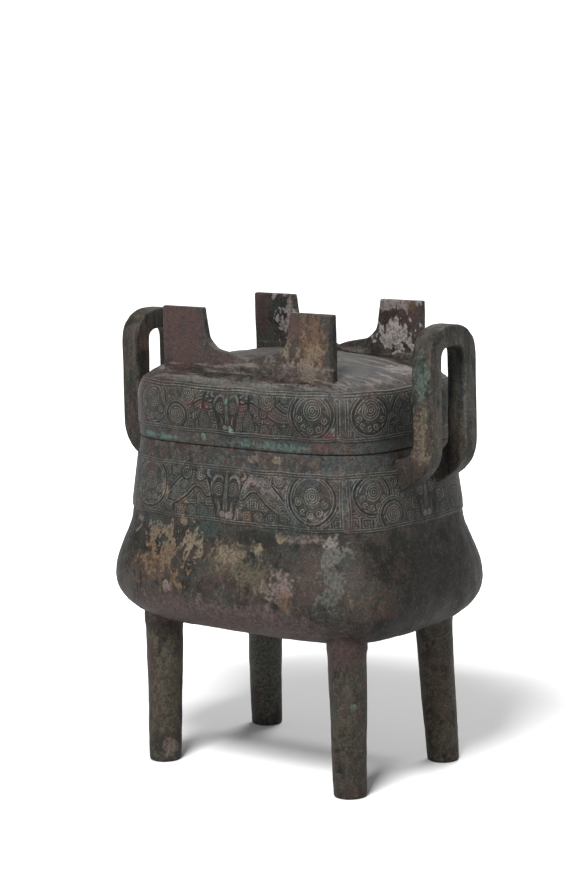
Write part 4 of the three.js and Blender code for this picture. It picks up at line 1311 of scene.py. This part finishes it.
LID_STAINS_AND_PAINTED_LIGHT = (
    # The four posts, with a painted highlight along the front posts' tops
    StainOrPaintedLight("maroon", (-46, -46, 256), (22, 6, 32), 0.95, 0.5, 0.5),
    StainOrPaintedLight("maroon", (-20, -46, 241), (22, 6, 7), 0.7, 1.4, 0.5),
    StainOrPaintedLight("brown", (47, -46, 252), (18, 6, 30), 0.8, 1.0, 0.5),
    StainOrPaintedLight("ochre", (47, -46, 249), (13, 6, 21), 0.8, 3.4, 0.3),
    StainOrPaintedLight("tan", (44, -46, 244), (12, 6, 10), 0.6, 4.0, 0.3),
    StainOrPaintedLight("maroon", (36, -46, 262), (6, 6, 9), 0.8, 1.4),
    StainOrPaintedLight("black_green", (62.5, -44, 250), (3, 9, 28), 0.85, 1.0, 0.5),
    StainOrPaintedLight("maroon", (-54, 40, 260), (10, 8, 17), 0.9, 1.0),
    StainOrPaintedLight("black_green", (-40, 40, 258), (10, 8, 16), 0.95, 1.8, 0.3),
    StainOrPaintedLight("teal", (-44, 40, 262), (6, 8, 5), 0.7, 2.4, 0.4),
    StainOrPaintedLight("black_green", (-48, 40, 252), (18, 8, 24), 0.5, 1.6, 0.5),
    StainOrPaintedLight("pale", (-33, 40, 252), (9, 8, 13), 0.6, 5.6, 0.3),
    StainOrPaintedLight("maroon", (46, 40, 262), (17, 8, 11), 0.85, 1.4, 0.3),
    StainOrPaintedLight("black_green", (42, 40, 256), (12, 8, 14), 0.7, 2.0, 0.4),
    StainOrPaintedLight("pale", (45, 40, 248), (14, 8, 9), 0.85, 4.0, 0.3),
    StainOrPaintedLight("pale", (46, 40, 268), (16, 8, 4), 0.5, 4.0, 0.3),
    StainOrPaintedLight("ochre", (56, 40, 267), (4, 8, 5), 0.6, 1.4),
    # Painted highlight: a pale line along the top edges of the front posts.
    StainOrPaintedLight("pale", (10, -43, 271), (90, 2, 1.6), 0.35, 1.5, 0.6),
    # Top and shoulder
    StainOrPaintedLight("grey", (35, -8, 238), (52, 40, 10), 0.45, 1.2, 0.8),
    StainOrPaintedLight("blue_grey", (62, -14, 236), (24, 26, 8), 0.7, 1.2, 0.6),
    StainOrPaintedLight("pink", (30, -42, 238), (40, 12, 8), 0.35, 2.6, 0.6),
    StainOrPaintedLight("pale", (72, 12, 235), (10, 14, 5), 0.5, 3.0, 0.4),
    StainOrPaintedLight("grey", (15, -56, 228), (62, 10, 4.5), 0.6, 1.8, 0.6),
    StainOrPaintedLight("maroon", (-62, -50, 226), (20, 18, 9), 0.6, 1.6, 0.6),
    StainOrPaintedLight("pink", (-78, -44, 221), (8, 12, 9), 0.5, 2.4, 0.5),
    StainOrPaintedLight("grey", (47, -47, 236), (18, 5, 5), 0.6, 1.6, 0.6),
    # The band, with painted shade on the lid's right end
    StainOrPaintedLight("black_green", (58, -58, 212), (30, 16, 12), 0.75, 1.6, 0.5),
    StainOrPaintedLight("black_green", (0, -60, 213), (96, 30, 15), 0.4, 1.4, 0.6),
    StainOrPaintedLight("black_green", (-1, -62, 211), (11, 8, 15), 0.8, 1.0, 0.6),
    StainOrPaintedLight("black_green", (-50, -60, 216), (14, 10, 7), 0.4, 1.8, 0.5),
    # Painted shade over the lid's darker right end, which faces away from the key light.
    StainOrPaintedLight("black_green", (94, -6, 212), (24, 60, 20), 0.9, 1.0, 0.6),
    StainOrPaintedLight("maroon", (-75, -50, 205), (14, 16, 10), 0.6, 1.6, 0.5),
    StainOrPaintedLight("red", (-17, -62.5, 217), (7, 5, 3), 0.85, 1.6),
    StainOrPaintedLight("red", (-28, -62.5, 217), (5, 5, 2.5), 0.6, 1.6),
    StainOrPaintedLight("red", (11, -62, 217.5), (4, 5, 4.5), 0.8, 1.4),
    StainOrPaintedLight("red", (4.5, -63, 209), (4, 5, 3), 0.7, 1.4),
    StainOrPaintedLight("red", (67, -57, 205), (5, 6, 3.5), 0.75, 1.4),
    StainOrPaintedLight("maroon", (30, -61, 214), (18, 6, 5), 0.6, 2.4),
    StainOrPaintedLight("mint", (3.3, -63, 203.4), (2.4, 4, 2), 0.95, 0.5, 0.4),
    StainOrPaintedLight("mint", (-60.5, -57, 196.6), (3.6, 5, 1.8), 0.8, 1.2),
    StainOrPaintedLight("mint", (-46, -60, 196.6), (4, 5, 1.4), 0.75, 1.4),
    StainOrPaintedLight("mint", (-18, -61.5, 198.5), (2.4, 4, 2.6), 0.8, 1.4),
    StainOrPaintedLight("mint", (40.5, -60, 209.4), (1.3, 3, 1.3), 0.95, 0.3, 0.5),
    StainOrPaintedLight("mint", (-1, -62, 220), (1.8, 4, 2.6), 0.6, 1.4),
    StainOrPaintedLight("mint", (69, -57, 208), (1.8, 4, 2.4), 0.6, 1.4),
    # The plain strip at the rim
    StainOrPaintedLight("teal", (36, -60, 197.5), (30, 8, 4), 0.75, 1.2, 0.5),
    StainOrPaintedLight("mint", (30, -60, 196.8), (26, 8, 2.4), 0.4, 2.2, 0.5),
    StainOrPaintedLight("teal", (-55, -58, 197), (26, 10, 3.4), 0.7, 1.6, 0.5),
    StainOrPaintedLight("mint", (-55, -58, 196.8), (24, 8, 2.2), 0.4, 2.4, 0.5),
    StainOrPaintedLight("red", (64, -57, 197.6), (12, 8, 3.2), 0.5, 0.9, 0.5),
    StainOrPaintedLight("teal", (88, -30, 197.5), (14, 16, 4), 0.5, 1.4, 0.5),
)


# Where the patina changes, in metres: from no change to full change
HANDLE_START = (0.094, 0.098)
HANDLE_FOOT = (0.168, 0.176)
BAND_START = (0.149, 0.152)
TOP_START = (0.226, 0.233)
TOP_END = (0.242, 0.2385)


def patina(name, colours, brownness, stains_and_painted_light):
    """Old bronze: brown and black-green metal, with stained patches and growth. Its raised lines are
    lighter, as worn metal and dust with a painted highlight, and its grooves darker, as dark patina with
    painted shade. A few patches are painted shade, a painted sheen, a painted highlight and a painted
    reflection.
    """
    g = Graph(name)
    broad = g.noise(26, 6, 0.6)
    ragged = g.noise(105, 7, 0.64, where=g.stretched(1, 1, 0.62))
    lace = g.noise(230, 4, 0.5, 0.6, g.stretched(1, 1, 0.6))
    crisp = g.noise(480, 5, 0.62)
    grain = g.noise(1100, 3, 0.6)
    streak = g.noise(150, 6, 0.66, where=g.stretched(0.14, 1, 1))
    upright = g.noise(260, 6, 0.66, where=g.stretched(1, 1, 0.1))
    x, z = g.axis("X"), g.axis("Z")
    on_handle = g.step(g.maths("ABSOLUTE", x), *HANDLE_START) * g.step(z, *HANDLE_FOOT)
    on_top = g.step(z, *TOP_START) * g.step(z, *TOP_END) * (1 - on_handle)
    base = g.mix(g.step(broad + ragged * 0.5, 0.86 - brownness * 0.25, 0.62 - brownness * 0.25),
                 colours.brown, colours.dark_brown)
    base = g.mix(g.step(ragged + crisp * 0.3, 0.64, 0.72) * 0.8, base, colours.black_green)
    on_band = g.step(z, *BAND_START) * (1 - on_handle) * (1 - on_top)
    base = g.mix(g.step(crisp + lace * 0.5, 0.74, 0.84) * (on_band * 0.35 + 0.2), base, colours.grey)
    base = g.mix(g.step(ragged + lace * 0.4, 0.66, 0.8) * on_band * 0.5, base, colours.blue_grey)
    tint = g.noise(70, 5, 0.6)
    base = g.mix(g.step(tint, 0.54, 0.64) * 0.45, base, colours.maroon)
    base = g.mix(g.step(tint, 0.46, 0.38) * 0.35, base, colours.teal)
    for stain in stains_and_painted_light:
        base = g.drift(base, stain, colours, ragged, lace, crisp)
    base = g.mix(g.step(streak, 0.5, 0.62) * on_top * 0.35, base, colours.pale)
    base = g.mix(g.step(upright, 0.52, 0.64) * on_handle * 0.4, base, colours.olive)
    base = g.mix(g.step(upright, 0.5, 0.4) * on_handle * 0.6, base, colours.black_green)
    # Lines lighter as worn metal and dust with a painted highlight; grooves darker as dark patina with
    # painted shade.
    base = g.mix(g.step(g.lines, 0.5, 0.95) * (0.3 + crisp * 0.6), base, colours.line)
    base = g.mix(g.step(g.lines, 0.48, 0.12) * 0.9, base, colours.black_green)
    base = g.mix(g.step(grain, 0.60, 0.70) * 0.2, base, colours.line)
    base = g.mix(g.step(grain, 0.45, 0.35) * 0.7, base, colours.black_green)
    roughness = ragged * 0.35 + crisp * 0.2 + 0.34
    metallic = 0.14 - g.step(crisp, 0.5, 0.6) * 0.1
    height = crisp * 0.6 + grain * 0.25 + ragged * 0.5
    height = height + streak * on_top * 0.6 + upright * on_handle * 0.8
    return g.finish(base, roughness, metallic, height, 0.8)


def patina_colours(scene):
    """The patina's colours by name, as plain tuples."""
    group = scene.ding_patina
    names = [p.identifier for p in group.bl_rna.properties if p.identifier not in ("rna_type", "name")]
    return SimpleNamespace(**{name: tuple(getattr(group, name)) for name in names})


# Operators


class DING_OT_vessel(Operator):
    """Builds the bowl with its legs and handles, cast as one"""

    bl_idname = "ding.vessel"
    bl_label = "Build Vessel"

    def execute(self, context):
        size = read_sizes(context.scene)
        skin = Skin()
        bowl_shell(skin, size)
        for sign_x in (-1, 1):
            for sign_y in (-1, 1):
                leg(skin, size, sign_x, sign_y)
        handle(skin, size, 1)
        handle(skin, size, -1)
        colours = patina_colours(context.scene)
        piece = skin.build("vessel_casting", patina("bowl_patina", colours, 0.2, BOWL_STAINS_AND_PAINTED_LIGHT))
        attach(piece, "root")
        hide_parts("vessel")
        return {"FINISHED"}


class DING_OT_lid(Operator):
    """Builds the lid with its two flanges, cast as one"""

    bl_idname = "ding.lid"
    bl_label = "Build Lid"

    def execute(self, context):
        size = read_sizes(context.scene)
        skin = Skin()
        lid_shell(skin, size)
        flange(skin, size, -1)
        flange(skin, size, 1)
        colours = patina_colours(context.scene)
        piece = skin.build("lid_casting", patina("lid_patina", colours, 0.5, LID_STAINS_AND_PAINTED_LIGHT))
        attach(piece, "root")
        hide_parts("lid")
        return {"FINISHED"}


# The camera stands where the photograph was taken from
CAMERA_PLACE = Vector((0.8921, -1.1394, 0.4135))
CAMERA_YAW = math.radians(38.17)
CAMERA_PITCH = math.radians(8.67)
CAMERA_ROLL = math.radians(-1.29)
CAMERA_LENS = 104.05
SENSOR_HEIGHT = 36.0


def add_camera():
    """Adds the camera and makes it the scene's own."""
    forward = Vector((-math.sin(CAMERA_YAW) * math.cos(CAMERA_PITCH),
                      math.cos(CAMERA_YAW) * math.cos(CAMERA_PITCH), -math.sin(CAMERA_PITCH)))
    level = Vector((math.cos(CAMERA_YAW), math.sin(CAMERA_YAW), 0))
    upright = level.cross(forward)
    right = level * math.cos(CAMERA_ROLL) + upright * math.sin(CAMERA_ROLL)
    up = upright * math.cos(CAMERA_ROLL) - level * math.sin(CAMERA_ROLL)
    data = bpy.data.cameras.new("camera")
    data.sensor_fit = "VERTICAL"
    data.sensor_height = SENSOR_HEIGHT
    data.lens = CAMERA_LENS
    camera = bpy.data.objects.new("camera", data)
    turned = Matrix((right, up, -forward)).transposed().to_4x4()
    camera.matrix_world = Matrix.Translation(CAMERA_PLACE) @ turned
    bpy.context.scene.collection.objects.link(camera)
    bpy.context.scene.camera = camera


def add_light(name, place, target, width, power):
    """Adds a soft rectangular light that faces a target."""
    data = bpy.data.lights.new(name, "AREA")
    data.shape = "RECTANGLE"
    data.size = width
    data.size_y = width * 0.8
    data.energy = power
    light = bpy.data.objects.new(name, data)
    light.location = place
    light.rotation_euler = (Vector(target) - Vector(place)).to_track_quat("-Z", "Y").to_euler()
    bpy.context.scene.collection.objects.link(light)


FLOOR_RADIUS = 5.0
FLOOR_SIDES = 64
WALL_HEIGHT = 1.6
# Where the floor's painted glow starts to rise and where it is full, in metres from the middle.
GLOW_START = 0.17
GLOW_FULL = 0.5


def add_floor(settings):
    """A round pale floor whose rim curves up into a wall on every side. It glows as painted light,
    faintly by the vessel and fully further out. This whitens the far floor, washes out the vessel's
    shadow there and lights the vessel from below.
    """
    sweep = np.linspace(0, np.pi / 2, 12)
    curve = [(0.5, 0.0)] + [(FLOOR_RADIUS + math.sin(a), 1 - math.cos(a)) for a in sweep]
    curve.append((FLOOR_RADIUS + 1, WALL_HEIGHT))
    turns = np.arange(FLOOR_SIDES) / FLOOR_SIDES * 2 * np.pi
    skin = Skin()
    rings = []
    for radius, height in curve:
        ring = [np.cos(turns) * radius, np.sin(turns) * radius, np.full(FLOOR_SIDES, height)]
        rings.append(skin.add_points(np.stack(ring, axis=1) / MM))
    for low, high in zip(rings, rings[1:]):
        skin.quads(high, low)
    skin.fan(rings[0], (0, 0, 0), upwards=True)
    g = Graph("floor_paper")
    grain = g.noise(40, 3)
    base = g.mix(grain * 0.04, tuple(settings.floor_colour), (0.5, 0.5, 0.5))
    away = g.vector_maths("LENGTH", g.place, output="Value")
    # Painted light: the floor's glow, weak by the vessel and full further out.
    glow = g.mix(g.step(away, GLOW_START, GLOW_FULL), (0.05, 0.05, 0.05), (1, 1, 1))
    floor = skin.build("floor", g.finish(base, grain * 0.1 + 0.8, 0.0, grain, 0.02,
                                         glow, settings.floor_glow))


class DING_OT_stage(Operator):
    """Sets up the pale floor, the soft lights and the camera"""

    bl_idname = "ding.stage"
    bl_label = "Set Up Stage"

    def execute(self, context):
        settings = context.scene.ding_stage
        add_floor(settings)
        world = bpy.data.worlds.new("studio")
        world.use_nodes = True
        background = world.node_tree.nodes["Background"]
        background.inputs["Color"].default_value = (1, 1, 1, 1)
        background.inputs["Strength"].default_value = settings.surround
        context.scene.world = world
        context.scene.view_settings.view_transform = "Standard"
        middle = (0, 0, 0.14)
        add_light("key", (0.38, -1.15, 1.7), middle, 0.6, settings.key_power)
        add_light("rim", (-0.25, 1.0, 1.7), middle, 0.7, settings.rim_power)
        add_camera()
        return {"FINISHED"}


class DING_PT_panel(Panel):
    """Lists the sizes, the colours and the pieces"""

    bl_idname = "DING_PT_panel"
    bl_label = "Bronze Ding"
    bl_space_type = "VIEW_3D"
    bl_region_type = "UI"
    bl_category = "Ding"

    def draw(self, context):
        for operator in OPERATORS:
            self.layout.operator(operator.bl_idname)
        for name in GROUPS:
            box = self.layout.box()
            group = getattr(context.scene, name)
            for prop in group.bl_rna.properties:
                if prop.identifier not in ("rna_type", "name"):
                    box.prop(group, prop.identifier)


OPERATORS = (DING_OT_vessel, DING_OT_lid, DING_OT_stage)


def register():
    for cls in (*GROUPS.values(), *OPERATORS, DING_PT_panel):
        bpy.utils.register_class(cls)
    for name, cls in GROUPS.items():
        setattr(bpy.types.Scene, name, PointerProperty(type=cls))


def unregister():
    for name in GROUPS:
        delattr(bpy.types.Scene, name)
    for cls in reversed((*GROUPS.values(), *OPERATORS, DING_PT_panel)):
        bpy.utils.unregister_class(cls)


def main():
    register()
    bpy.ops.ding.stage()
    bpy.ops.ding.vessel()
    bpy.ops.ding.lid()
    bpy.context.view_layer.update()


if __name__ == "__main__":
    main()
